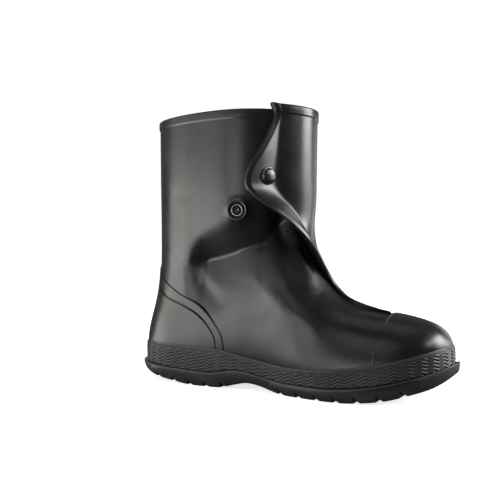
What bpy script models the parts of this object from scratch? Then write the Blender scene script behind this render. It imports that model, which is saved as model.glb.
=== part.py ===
"""Right-foot overboot of moulded black rubber, with a folded front flap and one snap.

Axes: +X to the toe, +Y to the inner side of the foot, +Z up, floor at z = 0.
Sizes and tables are in millimetres and become metres where a mesh is made.
"""

import bmesh
import bpy
import numpy as np
from mathutils import Vector

MM = 0.001
MERGE = 0.02            # points closer than this are one
SHARP_ANGLE = 35        # degrees


def table(columns, *rows):
    """Named columns of a short table with a row for each section."""
    return dict(zip(columns.split(), np.array(rows, dtype=float).T))


# Driving dimensions
LENGTH = 332.0          # flange of the sole, heel to toe
HEIGHT = 267.0          # collar; heights count from 2.4 mm above the floor
WALL = 2.0              # rubber of the upper
SEAT = 0.3              # gap between pieces that meet
TOE_X = LENGTH / 2
HEEL_X = -LENGTH / 2

# Sole: sections along the foot. half is the flange before its ends are rounded,
# bed its top, tread its underside and band the top edge of the ribbed band.
SOLE = table(
    "x     shift  half   bed   tread  band",
    (-166,  0.0,  48.0,  17.2, 14.0,  39.4),
    (-150,  0.0,  48.0,  16.7,  8.2,  39.4),
    (-134,  0.0,  48.0,  16.0,  4.4,  39.2),
    (-114, -0.3,  47.4,  14.6,  1.0,  38.8),
    (-97,  -0.6,  46.7,  13.5, -1.6,  38.2),
    (-87,  -0.8,  46.4,  12.9, -2.4,  37.8),
    (-66,  -1.2,  45.6,  12.6, -2.4,  37.0),
    (-56,  -1.7,  44.8,  13.8, -2.2,  36.4),
    (-46,  -2.1,  44.1,  16.0,  0.6,  35.0),
    (-38,  -2.4,  44.0,  17.0,  2.6,  33.4),
    (-26,  -2.7,  44.3,  16.2,  5.0,  31.1),
    (-14,  -2.8,  45.2,  14.1,  3.8,  29.3),
    (10,   -2.6,  49.0,  10.7, -1.4,  26.2),
    (22,   -2.4,  51.0,   9.7, -2.4,  25.3),
    (59,   -0.6,  58.8,   9.4, -2.4,  26.4),
    (76,    0.4,  60.2,  10.6, -2.2,  28.6),
    (92,    1.6,  60.4,  12.4, -0.9,  31.0),
    (112,   3.6,  58.6,  15.6,  1.3,  35.8),
    (132,   5.5,  57.4,  20.7,  6.5,  41.2),
    (150,   7.4,  56.0,  26.0, 12.0,  46.6),
    (166,   9.0,  54.0,  32.0, 22.5,  50.6),
)
HEEL_ROUND = 48.0
TOE_ROUND = 80.0
LIP = 2.6               # upright edge of the flange
SIDE_INSET = 1.0        # side wall under the lip
SIDE_CHAMFER = 0.4      # slope between lip and side wall
TREAD_INSET = 3.0       # outer edge of the lugs
LUG_DEPTH = 16.0        # lugs, inwards from their outer edge
TREAD_RECESS = 2.0      # middle of the tread, above the lugs
TREAD_STEP = 0.96       # where the lugs step up to the middle, as a share of its width
NARROW_SIDE = 0.2       # insets at the ends of the sole, as shares of its half-width
NARROW_EDGE = 0.3
NARROW_LUG = 0.4
GROOVE_SIDE = 5.0       # grooves between the lugs, up the side
GROOVE_GAP = 6.0
GROOVE_SLOPE = 0.8
GROOVE_MOUTH = 0.7      # how far a groove opens towards the side wall
END_STATIONS = 8
WAIST_STATIONS = (0.14, 0.26, 0.45, 0.7)
TREADS = table(
    "rear  front  lugs",
    (-127,  -53,  4),
    (13,    128,  6),
)

# Upper: line of its front from the toe over the vamp and up the shaft, without the flap
FRONT_LINE = table(
    "x      z",
    (158.5, 12),
    (159.4, 38),
    (158.4, 48),
    (154.8, 56),
    (147.0, 63),
    (136.0, 67.6),
    (121.0, 71.6),
    (104.0, 74.6),
    (87.0,  77.2),
    (73.0,  80.0),
    (62.0,  85),
    (53.0,  93),
    (45.0,  103),
    (37.5,  115),
    (31.0,  128),
    (26.4,  142),
    (25.0,  158),
    (26.6,  180),
    (27.2,  220),
    (28.0,  267),
)
# Sections of the upper by height: line of its back, end rounding at back and front,
# and half-widths at four stations along the foot
SECTIONS = table(
    "z    back    round_back  round_front  heel  waist  ball  toe",
    (12,  -159.2, 48,         84,          42.0, 39.0,  53.0, 53.5),
    (40,  -158.9, 48,         80,          43.5, 41.5,  56.0, 56.5),
    (55,  -156.8, 49,         68,          44.0, 43.0,  56.5, 57.0),
    (76,  -151.8, 54,         46,          44.7, 44.5,  56.5, 57.0),
    (95,  -148.4, 62,         50,          45.6, 46.5,  55.0, 55.0),
    (125, -146.7, 74,         66,          47.8, 50.5,  54.0, 54.0),
    (160, -146.6, 84,         84,          51.0, 54.0,  54.0, 54.0),
    (200, -146.8, 86,         87,          53.5, 56.5,  56.5, 56.5),
    (267, -147.0, 87,         87,          55.5, 58.0,  58.0, 58.0),
)
STATIONS = table(
    "heel  waist  ball  toe",
    (-115, -25,   65,   130),
)

# Flap: a double wall that stands as a ridge on the vamp and lies folded to the outer
# side on the shaft. reach runs from the front line along the outer side, lift stands
# off it, lay goes from standing to folded, and root is where the wall turns into it.
FLAP = table(
    "z     root  reach  lift  lay",
    (12,   30,   0,     0.0,  0.0),
    (72,   24,   0,     0.0,  0.0),
    (73.4, 12,   0,     0.0,  0.0),
    (74.3, 7,    0,     0.0,  0.0),
    (75,   4.8,  0,     2.6,  0.0),
    (77,   4.8,  0,    14.0,  0.0),
    (80,   4.8,  0,    15.5,  0.0),
    (84.5, 4.8,  0,    11.0,  0.0),
    (91,   4.8,  1,     5.5,  0.0),
    (99,   5.0,  2,     5.0,  0.05),
    (109,  5.5,  4,     6.0,  0.12),
    (121,  6.0,  8,     8.0,  0.25),
    (134,  7.0,  14,   11.5,  0.42),
    (147,  8.0,  23,   15.0,  0.62),
    (160,  9.0,  34.5, 18.0,  0.82),
    (172,  10.0, 49,   20.0,  0.95),
    (184,  10.0, 65,   21.0,  1.0),
    (197,  10.0, 71.5, 21.0,  1.0),
    (210,  10.0, 71.5, 20.0,  1.0),
    (224,  10.0, 65,   18.0,  1.0),
    (241,  10.0, 55,    9.5,  1.0),
    (258,  10.0, 47.5,  5.5,  1.0),
    (267,  10.0, 51.5,  5.0,  1.0),
)
FLAP_HALF = 2.9         # half of the folded edge's thickness
PLEAT_GAP = 4.0         # between flap and wall where the pleat turns
PLEAT_RUN = 72.0        # length over which the wall comes back to its form
PLEAT_TURN = (0.85, 0.3)  # where the pleat turns, as a share of root: standing and folded
INNER_ROOT = 1.5        # root on the inner side where the flap lies folded
FLARE_FROM = 0.35       # where the folded flap starts to flare, as a share of reach
FLARE_POWER = 2.6
FLARE_STEP = 0.01       # share of reach over which the flap's heading is read
LEAST_LIFT = 1.0        # where less than this stands up there is no flap
PLAIN_SPREAD = 0.8      # columns over the toe there, as a share of root
COLLAR_BAND = 8.7       # height of the band at the collar
COLLAR_STEP = 0.8       # how far the band stands out
FLAP_RISE = 4.5         # how far the flap pulls the collar up at the front
WALL_RISE = 2.0         # and the outer wall beside it
RISE_FROM = 205.0       # height where that pull starts
OUTER_RISE_RUN = 210.0  # lengths round the collar over which it fades
OUTER_RISE_FLAT = 60.0
INNER_RISE_RUN = 105.0

# Fineness of the curves that sections are read from, and of the outlines
CURVE_POINTS = 400
OUTLINE_POINTS = 160
OUTLINE_PASSES = 8
NEAREST = 0.05          # keeps a distance's square from being 0

# Mesh of the upper: rows between sole and first level, then levels, and columns
LOW_ROWS = (0.0, 0.3, 0.65)
FIRST_LEVEL = 60.0
LEVELS = (68, 72, 73.4, 74.3, 75, 77, 80, 84.5, 91, 99, 109, 121, 134, 147, 160, 172, 184, 197, 211, 232)
REAR_RUN = 185.0        # wall whose columns stay in line from row to row
REAR_COLUMNS = 15
FRONT_COLUMNS = 8
HEEL_CROWDING = 1.1     # above 1, columns come closer together at the heel and the flap
FLAP_CROWDING = 1.15
FLAP_COLUMNS = table(
    "along  face",
    (0.16,  1.0),
    (0.40,  1.0),
    (0.63,  1.0),
    (0.82,  1.0),
    (0.97,  1.0),
    (1.00,  0.7),
    (1.00, -0.7),
    (0.97, -1.0),
    (0.82, -1.0),
    (0.63, -1.0),
    (0.40, -1.0),
    (0.16, -1.0),
)

# Ribbed band round the foot
BAND_THICK = 1.9
RIB_RELIEF = 0.7
RIB_ROWS = 3
CHEVRONS = 43
BAND_PLAIN = 5.0        # smooth strip along the top edge
BAND_FOOT = 1.6         # and along the foot
BAND_EDGE = 0.8         # rounding of its top edge: height, and how far it goes in
BAND_EDGE_IN = (0.2, 1.0)
ZIGZAG = 0.8            # rise of a chevron, in pitches of the rows

# Overlays on the upper
OVERLAY_SEAT = 0.4
OVERLAY_EDGE = 0.6      # thickness along the edges, as a share
TOE_CAP_X = 106.5       # rear edge, on top
TOE_CAP_SLANT = 6.4     # how far that edge runs back on its way down
TOE_CAP_BEND = (0.3, 0.9)
TOE_CAP_NOSE = 157.4    # front edge, above the ribbed band
TOE_CAP_THICK = 1.1
TOE_CAP_ROWS = 9
TOE_CAP_COLUMNS = 17
COUNTER_THICK = 0.7
COUNTER_GROOVE = 0.9
COUNTER_COLUMNS = 17    # on each side
PANEL_TAPER = 0.985     # length of the panel's foot against its top edge
PANEL_ROWS = (0.0, 0.2, 0.45, 0.72, 1.0)
STRAP_ROWS = (0.0, 0.5, 1.0)
PANEL_LINE = table(
    "back   height",
    (0,     103),
    (24,     88),
    (55,     78),
    (76,     68),
    (90,     57),
    (98,     46),
    (100,    38.6),
)
STRAP_LINE = table(
    "back   height",
    (0,     119),
    (15,    107),
    (46,     91),
    (75,     78),
    (94,     63),
    (106,    49),
    (109.5,  38.0),
)

# Snap: cap and socket on the flap, stud on the shaft; profiles are radius and height
SNAP_HEIGHT = 204.3
SNAP_ALONG = 0.78
STUD_X = -30.6
STUD_HEIGHT = 172.5
SNAP_SEAT = 0.5
CAP_SEAT = 1.0          # the cap lies in the hollow of the flap
ROUND_SIDES = 12
FRAME_STEP = 5.0        # distance over which a surface's slope is read
FRAME_SHARE = 0.1
CAP_PROFILE = ((8.2, 0.0), (8.2, 0.9), (7.2, 2.2), (4.6, 3.3))
CAP_TOP = 3.7
SOCKET_RING = ((3.0, 0.0), (6.2, 0.0), (6.2, 0.9), (5.4, 1.6), (3.0, 1.6))
BOSS_RING = ((6.0, 0.0), (9.2, 0.0), (8.8, 0.9), (7.6, 1.5), (6.0, 1.2))
STUD_RING = ((1.6, 0.0), (5.6, 0.0), (5.6, 1.9), (4.7, 1.9), (4.5, 1.1), (3.1, 1.1), (2.9, 3.0), (1.6, 3.0))


# Curves
def lookup(rows, column, at):
    """Smooth curve through a column, with no overshoot, read against the first column."""
    xs = rows[next(iter(rows))]
    ys = rows[column]
    step = np.diff(xs)
    slope = np.diff(ys) / step
    product = slope[:-1] * slope[1:]
    total = slope[:-1] + slope[1:]
    inner = np.where(product > 0, 2 * product / np.where(product > 0, total, 1), 0)
    tangent = np.concatenate([slope[:1], inner, slope[-1:]])
    at = np.clip(at, xs[0], xs[-1])
    i = np.clip(np.searchsorted(xs, at) - 1, 0, len(xs) - 2)
    t = (at - xs[i]) / step[i]
    start = (1 + 2 * t) * (1 - t) ** 2 * ys[i] + t * (1 - t) ** 2 * step[i] * tangent[i]
    end = t * t * (3 - 2 * t) * ys[i + 1] - t * t * (1 - t) * step[i] * tangent[i + 1]
    return start + end


def curve_through(rows, count):
    """Evenly spaced points on a smooth curve through the rows of a table."""
    points = np.stack(list(rows.values()), axis=1)
    along = np.concatenate([[0], np.cumsum(np.linalg.norm(np.diff(points, axis=0), axis=1))])
    tangent = np.gradient(points, along, axis=0)
    at = np.linspace(0, along[-1], count)
    i = np.clip(np.searchsorted(along, at) - 1, 0, len(along) - 2)
    step = (along[i + 1] - along[i])[:, None]
    t = (at - along[i])[:, None] / step
    start = (1 + 2 * t) * (1 - t) ** 2 * points[i] + t * (1 - t) ** 2 * step * tangent[i]
    end = t * t * (3 - 2 * t) * points[i + 1] - t * t * (1 - t) * step * tangent[i + 1]
    return start + end


def smoothstep(r):
    r = np.clip(r, 0, 1)
    return r * r * (3 - 2 * r)


def round_end(r):
    """Quarter of an ellipse: 0 at the tip, 1 from r = 1 on."""
    return np.sqrt(1 - (1 - np.clip(r, 0, 1)) ** 2)


def mix(a, b, share):
    return a + (b - a) * share


# Base form of the upper
FRONT_CURVE = curve_through(FRONT_LINE, CURVE_POINTS)


def front_x(z):
    return np.interp(z, np.maximum.accumulate(FRONT_CURVE[:, 1]), FRONT_CURVE[:, 0])


def top_z(x):
    """Height of the vamp's line over the toe."""
    beyond_nose = FRONT_CURVE[np.argmax(FRONT_CURVE[:, 0]):]
    return np.interp(-np.asarray(x), -beyond_nose[:, 0], beyond_nose[:, 1])


def back_x(z):
    return lookup(SECTIONS, "back", z)


def depth_behind_front(x, z):
    """Distance to the front line, softened so that its two sides blend."""
    far = (x[..., None] - FRONT_CURVE[:, 0]) ** 2 + (z[..., None] - FRONT_CURVE[:, 1]) ** 2
    spacing = np.linalg.norm(FRONT_CURVE[1] - FRONT_CURVE[0])
    straight_line = 8 / (3 * np.pi)
    return (straight_line * spacing * np.sum((far + NEAREST) ** -3, axis=-1)) ** -0.2


def nominal_half(x, z):
    """Half-width between the rounded ends, blended between the four stations."""
    names = list(STATIONS)
    half = lookup(SECTIONS, names[0], z)
    for rear, front in zip(names, names[1:]):
        rear_x = STATIONS[rear][0]
        share = smoothstep((x - rear_x) / (STATIONS[front][0] - rear_x))
        half = half + share * (lookup(SECTIONS, front, z) - lookup(SECTIONS, rear, z))
    return half


def half_width(x, z):
    depth = np.minimum(depth_behind_front(x, z), np.maximum(front_x(z) - x, 0))
    front = round_end(depth / lookup(SECTIONS, "round_front", z))
    back = round_end((x - back_x(z)) / lookup(SECTIONS, "round_back", z))
    return nominal_half(x, z) * front * back


def skin(x, side, z):
    """Point of the base form; side is -1 on the outer side and 1 on the inner side."""
    x, z = np.broadcast_arrays(np.asarray(x, dtype=float), np.asarray(z, dtype=float))
    y = lookup(SOLE, "shift", x) + side * half_width(x, z)
    return np.stack([x, y, z], axis=-1)


class Outline:
    """Outline of the base form at z = height(x), measured from its front tip.

    Distances are positive along the outer side and negative along the inner side.
    """

    def __init__(self, height):
        share = (1 - np.cos(np.linspace(0, np.pi, OUTLINE_POINTS))) / 2
        x = mix(HEEL_X, TOE_X, share)
        for _ in range(OUTLINE_PASSES):
            z = height(x)
            x = mix(back_x(z), front_x(z), share)
        z = height(x)
        self.points = np.vstack([skin(x, -1, z), skin(x, 1, z)[-2::-1]])
        steps = np.linalg.norm(np.diff(self.points[:, :2], axis=0), axis=1)
        run = np.concatenate([[0], np.cumsum(steps)])
        self.along = run[OUTLINE_POINTS - 1] - run
        ring = np.vstack([self.points[-2:-1], self.points, self.points[1:2]])
        tangent = (ring[2:] - ring[:-2])[:, :2]
        tangent /= np.linalg.norm(tangent, axis=1)[:, None]
        self.normals = np.stack([tangent[:, 1], -tangent[:, 0], 0 * tangent[:, 0]], axis=1)

    def at(self, distance, lift=0.0):
        """Points at these distances, moved out by lift."""
        distance, lift = np.broadcast_arrays(np.asarray(distance, dtype=float), lift)
        point = np.stack([np.interp(-distance, -self.along, c) for c in self.points.T], axis=-1)
        normal = np.stack([np.interp(-distance, -self.along, c) for c in self.normals.T], axis=-1)
        normal /= np.linalg.norm(normal, axis=-1)[..., None]
        return point + lift[..., None] * normal

    def columns(self, side, root):
        """Distances of the wall's columns from its back to root, closer together at the heel."""
        length = abs(self.along[0] if side < 0 else self.along[-1])
        rear = length - REAR_RUN * np.linspace(0, 1, REAR_COLUMNS) ** HEEL_CROWDING
        front = root + (rear[-1] - root) * np.linspace(1, 0, FRONT_COLUMNS + 1)[1:] ** FLAP_CROWDING
        return -side * np.concatenate([rear, front])


# Flap
def flap_sizes(z):
    return {name: float(lookup(FLAP, name, z)) for name in FLAP if name != "z"}


def flap_points(outline, z, along, face):
    """Points of the flap: along from root to edge, face 1 towards the shaft, -1 outside."""
    size = flap_sizes(z)

    def middle(u):
        flare = np.maximum((u - FLARE_FROM) / (1 - FLARE_FROM), 0) ** FLARE_POWER
        folded = mix(-FLAP_HALF, size["lift"], flare)
        return outline.at(u * size["reach"], mix(u * size["lift"], folded, size["lay"]))

    along = np.asarray(along, dtype=float)
    heading = middle(along) - middle(along - FLARE_STEP)
    heading /= np.linalg.norm(heading, axis=1)[:, None]
    towards_shaft = np.stack([heading[:, 1], -heading[:, 0], 0 * heading[:, 0]], axis=1)
    return middle(along) + FLAP_HALF * np.asarray(face)[:, None] * towards_shaft


def upper_row(height, z):
    """One row of the upper's outer face, from the back along the outer side and round."""
    outline = Outline(height)
    size = flap_sizes(z)
    lay = size["lay"]
    root = size["root"]
    count = len(FLAP_COLUMNS["along"])
    pleat = lay * (2 * FLAP_HALF + PLEAT_GAP)

    outer = outline.columns(-1, root)
    dip = -pleat * (1 - smoothstep((outer - root) / PLEAT_RUN))
    outer_wall = outline.at(outer, dip)
    standing, folded = PLEAT_TURN
    turn = outline.at([root * mix(standing, folded, lay)], -lay * (2 * FLAP_HALF + PLEAT_GAP / 2))
    if size["lift"] > LEAST_LIFT:
        flap = flap_points(outline, z, FLAP_COLUMNS["along"], FLAP_COLUMNS["face"])
    else:
        flap = outline.at(np.linspace(PLAIN_SPREAD, -PLAIN_SPREAD, count) * root)
    inner = outline.columns(1, mix(root, INNER_ROOT, lay))
    inner_wall = outline.at(inner)
    pulled = smoothstep((z - RISE_FROM) / (HEIGHT - RISE_FROM))
    beside_flap = smoothstep((OUTER_RISE_RUN - outer) / (OUTER_RISE_RUN - OUTER_RISE_FLAT))
    outer_wall[:, 2] += pulled * WALL_RISE * beside_flap
    flap[:, 2] += pulled * FLAP_RISE
    turn[:, 2] += pulled * WALL_RISE
    inner_wall[:, 2] += pulled * FLAP_RISE * smoothstep(1 + inner / INNER_RISE_RUN)
    return np.vstack([outer_wall, turn, flap, inner_wall[:0:-1]])


def grid_normals(grid, wrap):
    """Unit normals of a grid of points, rows upwards, wrapped along its rows or not."""
    if wrap:
        across = np.roll(grid, -1, axis=1) - np.roll(grid, 1, axis=1)
    else:
        across = np.gradient(grid, axis=1)
    upwards = np.gradient(grid, axis=0)
    normal = np.cross(across, upwards)
    return normal / np.linalg.norm(normal, axis=2)[:, :, None]


def bed_height(x):
    return lookup(SOLE, "bed", x) + SEAT


def upper_faces():
    """Outer and inner face of the upper as grids of points."""
    rows = []
    for share in LOW_ROWS:
        rows.append(upper_row(lambda x, s=share: mix(bed_height(x), FIRST_LEVEL, s), SOLE["bed"].min()))
    band_foot = HEIGHT - COLLAR_BAND
    for z in (FIRST_LEVEL, *LEVELS, band_foot, band_foot + COLLAR_STEP / 2, HEIGHT):
        rows.append(upper_row(lambda x, level=z: np.full_like(x, level), z))
    outer = np.array(rows)
    normals = grid_normals(outer, wrap=True)
    inner = outer - WALL * normals
    outer[-2:] += COLLAR_STEP * normals[-2:]
    for face in (outer, inner):
        face[0, :, 2] = bed_height(face[0, :, 0])
        face[-1, :, 2] = outer[-1, :, 2]
    return outer, inner


# Sole
def flange_half(x):
    heel = round_end((x - HEEL_X) / HEEL_ROUND)
    toe = round_end((TOE_X - x) / TOE_ROUND)
    return lookup(SOLE, "half", x) * heel * toe


def sole_stations():
    """Places along the sole and, for each, whether it is in a groove and in a tread."""
    grooves = []
    for rear, front, lugs in zip(*TREADS.values()):
        grooves.extend(np.linspace(rear, front, int(lugs) + 1))
    stations = []
    for middle in grooves:
        for offset, cut in ((-1, 0.0), (-0.5, 1.0), (0.5, 1.0), (1, 0.0)):
            reach = abs(offset) if abs(offset) < 1 else 0.5 + GROOVE_SLOPE / GROOVE_GAP
            stations.append((middle + np.sign(offset) * reach * GROOVE_GAP, cut))
    first, last = min(stations)[0], max(stations)[0]
    for turn in np.linspace(0, np.pi / 2, END_STATIONS)[:-1]:
        stations.append((mix(first, HEEL_X, np.cos(turn)), 0.0))
        stations.append((mix(last, TOE_X, np.cos(turn)), 0.0))
    waist_rear, waist_front = TREADS["front"][0], TREADS["rear"][1]
    for share in WAIST_STATIONS:
        stations.append((mix(waist_rear, waist_front, share), 0.0))
    return sorted(stations)


def sole_section(x, cut):
    """Half of the sole's section: offsets from its middle line and heights."""
    half = float(flange_half(np.array(x)))
    bed = float(lookup(SOLE, "bed", np.array(x)))
    tread = float(lookup(SOLE, "tread", np.array(x)))
    in_tread = np.any((x > TREADS["rear"]) & (x < TREADS["front"]))
    recess = TREAD_RECESS if in_tread else 0.0
    side = half - min(SIDE_INSET, NARROW_SIDE * half)
    edge = half - min(TREAD_INSET, NARROW_EDGE * half)
    lug = edge - min(LUG_DEPTH, NARROW_LUG * half)
    mouth = mix(edge, side, GROOVE_MOUTH * cut)
    step = TREAD_STEP * lug
    return (
        (0.0, bed),
        (half, bed),
        (half, bed - LIP),
        (side, bed - LIP - SIDE_CHAMFER),
        (mouth, tread + GROOVE_SIDE * cut),
        (lug, tread + recess * cut),
        (step, tread + recess),
        (0.0, tread + recess),
    )


# Blender objects
def plain_material(name, colour, roughness, metallic=0.0):
    material = bpy.data.materials.new(name)
    material.use_nodes = True
    shader = material.node_tree.nodes["Principled BSDF"]
    shader.inputs["Base Color"].default_value = (*colour, 1.0)
    shader.inputs["Roughness"].default_value = roughness
    shader.inputs["Metallic"].default_value = metallic
    return material


def add_object(name, material, build):
    """New object whose mesh build fills, with its faces turned out and shaded smooth."""
    mesh = bpy.data.meshes.new(name)
    bm = bmesh.new()
    build(bm)
    bmesh.ops.remove_doubles(bm, verts=bm.verts, dist=MERGE * MM)
    bmesh.ops.recalc_face_normals(bm, faces=bm.faces)
    bm.to_mesh(mesh)
    bm.free()
    mesh.materials.append(material)
    mesh.shade_smooth()
    mesh.set_sharp_from_angle(angle=np.radians(SHARP_ANGLE))
    bpy.context.scene.collection.objects.link(bpy.data.objects.new(name, mesh))


def add_grid(bm, grid, wrap_rows, wrap_columns):
    """Quads over a grid of points in millimetres."""
    rows, columns = grid.shape[:2]
    verts = [[bm.verts.new(Vector(point * MM)) for point in row] for row in grid]
    for i in range(rows if wrap_rows else rows - 1):
        for j in range(columns if wrap_columns else columns - 1):
            following = (j + 1) % columns
            above = (i + 1) % rows
            bm.faces.new((verts[i][j], verts[i][following], verts[above][following], verts[above][j]))
    return verts


def build_tube_ring(bm, grid):
    """A closed ring: rows run round its section, columns round the foot."""
    add_grid(bm, grid, wrap_rows=True, wrap_columns=True)


def build_patch(bm, outer, inner):
    """A sheet between two grids, closed along its four edges."""
    section = np.concatenate([outer, inner[::-1]], axis=0)
    verts = add_grid(bm, section, wrap_rows=True, wrap_columns=False)
    rows = len(outer)
    for column in (0, -1):
        for i in range(rows - 1):
            corners = (i, i + 1, 2 * rows - 2 - i, 2 * rows - 1 - i)
            bm.faces.new([verts[k][column] for k in corners])


def add_overlay(name, material, grid, thickness):
    """A sheet that follows the upper, thinner along its edges."""
    normals = grid_normals(grid, wrap=False)
    full = np.full(grid.shape[:2], thickness)
    full[[0, -1], :] = OVERLAY_EDGE * thickness
    full[:, [0, -1]] = OVERLAY_EDGE * thickness
    inner = grid + OVERLAY_SEAT * normals
    outer = grid + (OVERLAY_SEAT + full)[:, :, None] * normals
    add_object(name, material, lambda bm: build_patch(bm, outer, inner))


def add_upper(material):
    outer, inner = upper_faces()
    add_object("upper", material, lambda bm: build_tube_ring(bm, np.concatenate([outer, inner[::-1]])))


def add_outsole(material):
    sections = []
    for x, cut in sole_stations():
        shift = float(lookup(SOLE, "shift", np.array(x)))
        half = sole_section(x, cut)
        outer = [(x, shift - y, z) for y, z in half]
        inner = [(x, shift + y, z) for y, z in half[-2:0:-1]]
        sections.append(outer + inner)
    grid = np.array(sections)
    add_object("outsole", material, lambda bm: add_grid(bm, grid, wrap_rows=False, wrap_columns=True))


def band_columns(count):
    """Evenly spaced places round the foot: share from back to front, and side."""
    outline = Outline(lambda x: mix(bed_height(x), lookup(SOLE, "band", x), 0.5))
    evenly = np.linspace(outline.along[0], outline.along[-1], count, endpoint=False)
    x = outline.at(evenly)[:, 0]
    rear, front = outline.points[:, 0].min(), outline.points[:, 0].max()
    return (x - rear) / (front - rear), np.where(evenly >= 0, -1, 1), x


def add_foxing(material):
    """Ribbed band round the foot, between flange and upper, with rows of chevrons."""
    share, side, x = band_columns(2 * CHEVRONS)
    low = bed_height(x)
    top = lookup(SOLE, "band", x)
    zigzag = np.where(np.arange(2 * CHEVRONS) % 2 == 0, 1.0, -1.0)

    def ring(z, out):
        wall = mix(back_x(z), front_x(z), share)
        points = skin(wall, side, z)
        around = np.roll(points, -1, axis=0) - np.roll(points, 1, axis=0)
        away = np.stack([around[:, 1], -around[:, 0], 0 * z], axis=1)
        away /= np.linalg.norm(away, axis=1)[:, None]
        return points + out * away

    def foot_ring(out):
        points = ring(low, out)
        points[:, 2] = bed_height(points[:, 0])
        return points

    foot = low + BAND_FOOT
    head = top - BAND_PLAIN
    pitch = (head - foot) / (2 * RIB_ROWS)
    face = SEAT + BAND_THICK
    rows = [foot_ring(face), ring(foot, face)]
    for k in range(1, 2 * RIB_ROWS):
        rows.append(ring(foot + (k + ZIGZAG * zigzag * np.sin(np.pi * k / (2 * RIB_ROWS))) * pitch,
                         face + RIB_RELIEF * (k % 2)))
    rows.append(ring(head, face))
    rows.append(ring(top - BAND_EDGE, face - BAND_EDGE_IN[0]))
    rows.append(ring(top, face - BAND_EDGE_IN[1]))
    rows.append(ring(top, SEAT))
    rows.append(ring(mix(low, top, 0.5), SEAT))
    rows.append(foot_ring(SEAT))
    add_object("foxing", material, lambda bm: build_tube_ring(bm, np.array(rows)))


def add_toe_cap(material):
    """Cap over the toe: sections from its rear edge to the nose, down to the ribbed band."""
    across = np.linspace(-1, 1, TOE_CAP_COLUMNS)
    bend_from, bend_to = TOE_CAP_BEND
    rear = TOE_CAP_X - TOE_CAP_SLANT * smoothstep((np.abs(across) - bend_from) / (bend_to - bend_from))
    rows = []
    for turn in np.linspace(0, np.pi / 2, TOE_CAP_ROWS):
        x = mix(rear, TOE_CAP_NOSE, np.sin(turn))
        low = lookup(SOLE, "band", x) + SEAT
        z = mix(top_z(x), low, across ** 2)
        rows.append(skin(x, np.sign(across), z))
    add_overlay("toe_cap", material, np.array(rows)[:, ::-1], TOE_CAP_THICK)


def counter_sheet(lower, upper, shares):
    """Grid between two lines (distance from the back, height), over both sides."""
    halves = []
    for side in (-1, 1):
        rows = []
        for share in shares:
            line = mix(lower, upper, share)
            points = skin(back_x(line[:, 1]) + line[:, 0], side, line[:, 1])
            rows.append(points)
        halves.append(np.array(rows))
    outer, inner = halves
    return np.concatenate([inner[:, ::-1], outer[:, 1:]], axis=1)


def counter_line(rows):
    """Points of a counter's line, closer together at the back."""
    dense = curve_through(rows, CURVE_POINTS)
    places = np.linspace(0, 1, COUNTER_COLUMNS) ** 2 * (len(dense) - 1)
    index = np.arange(len(dense))
    return np.stack([np.interp(places, index, column) for column in dense.T], axis=1)


def add_counter(material):
    """Heel panel above the ribbed band, and the strap along its edge."""
    panel = counter_line(PANEL_LINE)
    strap = counter_line(STRAP_LINE)
    heel_x = back_x(panel[:, 1]) + panel[:, 0]
    foot = np.stack([panel[:, 0] * PANEL_TAPER, lookup(SOLE, "band", heel_x) + 2 * SEAT], axis=1)
    groove = panel + COUNTER_GROOVE * (strap - panel) / np.linalg.norm(strap - panel, axis=1)[:, None]
    add_overlay("heel_counter", material, counter_sheet(foot, panel, PANEL_ROWS), COUNTER_THICK)
    add_overlay("counter_strap", material, counter_sheet(groove, strap, STRAP_ROWS), COUNTER_THICK)


def turned(bm, profile, centre, normal, closed_top=None):
    """Ring or dome turned about normal: profile rows are radius and height above centre."""
    axis = Vector(normal).normalized()
    across = axis.orthogonal().normalized()
    along = axis.cross(across)
    origin = Vector(centre)
    rings = []
    for radius, height in profile:
        ring = []
        for k in range(ROUND_SIDES):
            angle = 2 * np.pi * k / ROUND_SIDES
            spoke = across * (radius * np.cos(angle)) + along * (radius * np.sin(angle))
            ring.append(bm.verts.new((origin + axis * height + spoke) * MM))
        rings.append(ring)
    pairs = list(zip(rings, rings[1:]))
    if closed_top is None:
        pairs.append((rings[-1], rings[0]))
    else:
        bm.faces.new(rings[0][::-1])
        peak = bm.verts.new((origin + axis * closed_top) * MM)
        for k in range(ROUND_SIDES):
            bm.faces.new((rings[-1][k], rings[-1][(k + 1) % ROUND_SIDES], peak))
    for lower, upper in pairs:
        for k in range(ROUND_SIDES):
            following = (k + 1) % ROUND_SIDES
            bm.faces.new((lower[k], lower[following], upper[following], upper[k]))


def flap_frame(face):
    """Point and outward normal of the flap where the snap is."""
    def at(z, along):
        outline = Outline(lambda x: np.full_like(x, z))
        return flap_points(outline, z, [along], [face])[0]

    point = at(SNAP_HEIGHT, SNAP_ALONG)
    along = at(SNAP_HEIGHT, SNAP_ALONG + FRAME_SHARE) - at(SNAP_HEIGHT, SNAP_ALONG - FRAME_SHARE)
    upwards = at(SNAP_HEIGHT + FRAME_STEP, SNAP_ALONG) - at(SNAP_HEIGHT - FRAME_STEP, SNAP_ALONG)
    normal = np.cross(upwards, along) * -face
    return point, normal / np.linalg.norm(normal)


def stud_frame():
    """Point and outward normal of the shaft where the stud is."""
    def at(x, z):
        return skin(np.array(x), -1, np.array(z))

    along = at(STUD_X + FRAME_STEP, STUD_HEIGHT) - at(STUD_X - FRAME_STEP, STUD_HEIGHT)
    upwards = at(STUD_X, STUD_HEIGHT + FRAME_STEP) - at(STUD_X, STUD_HEIGHT - FRAME_STEP)
    normal = np.cross(along, upwards)
    return at(STUD_X, STUD_HEIGHT), normal / np.linalg.norm(normal)


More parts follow.
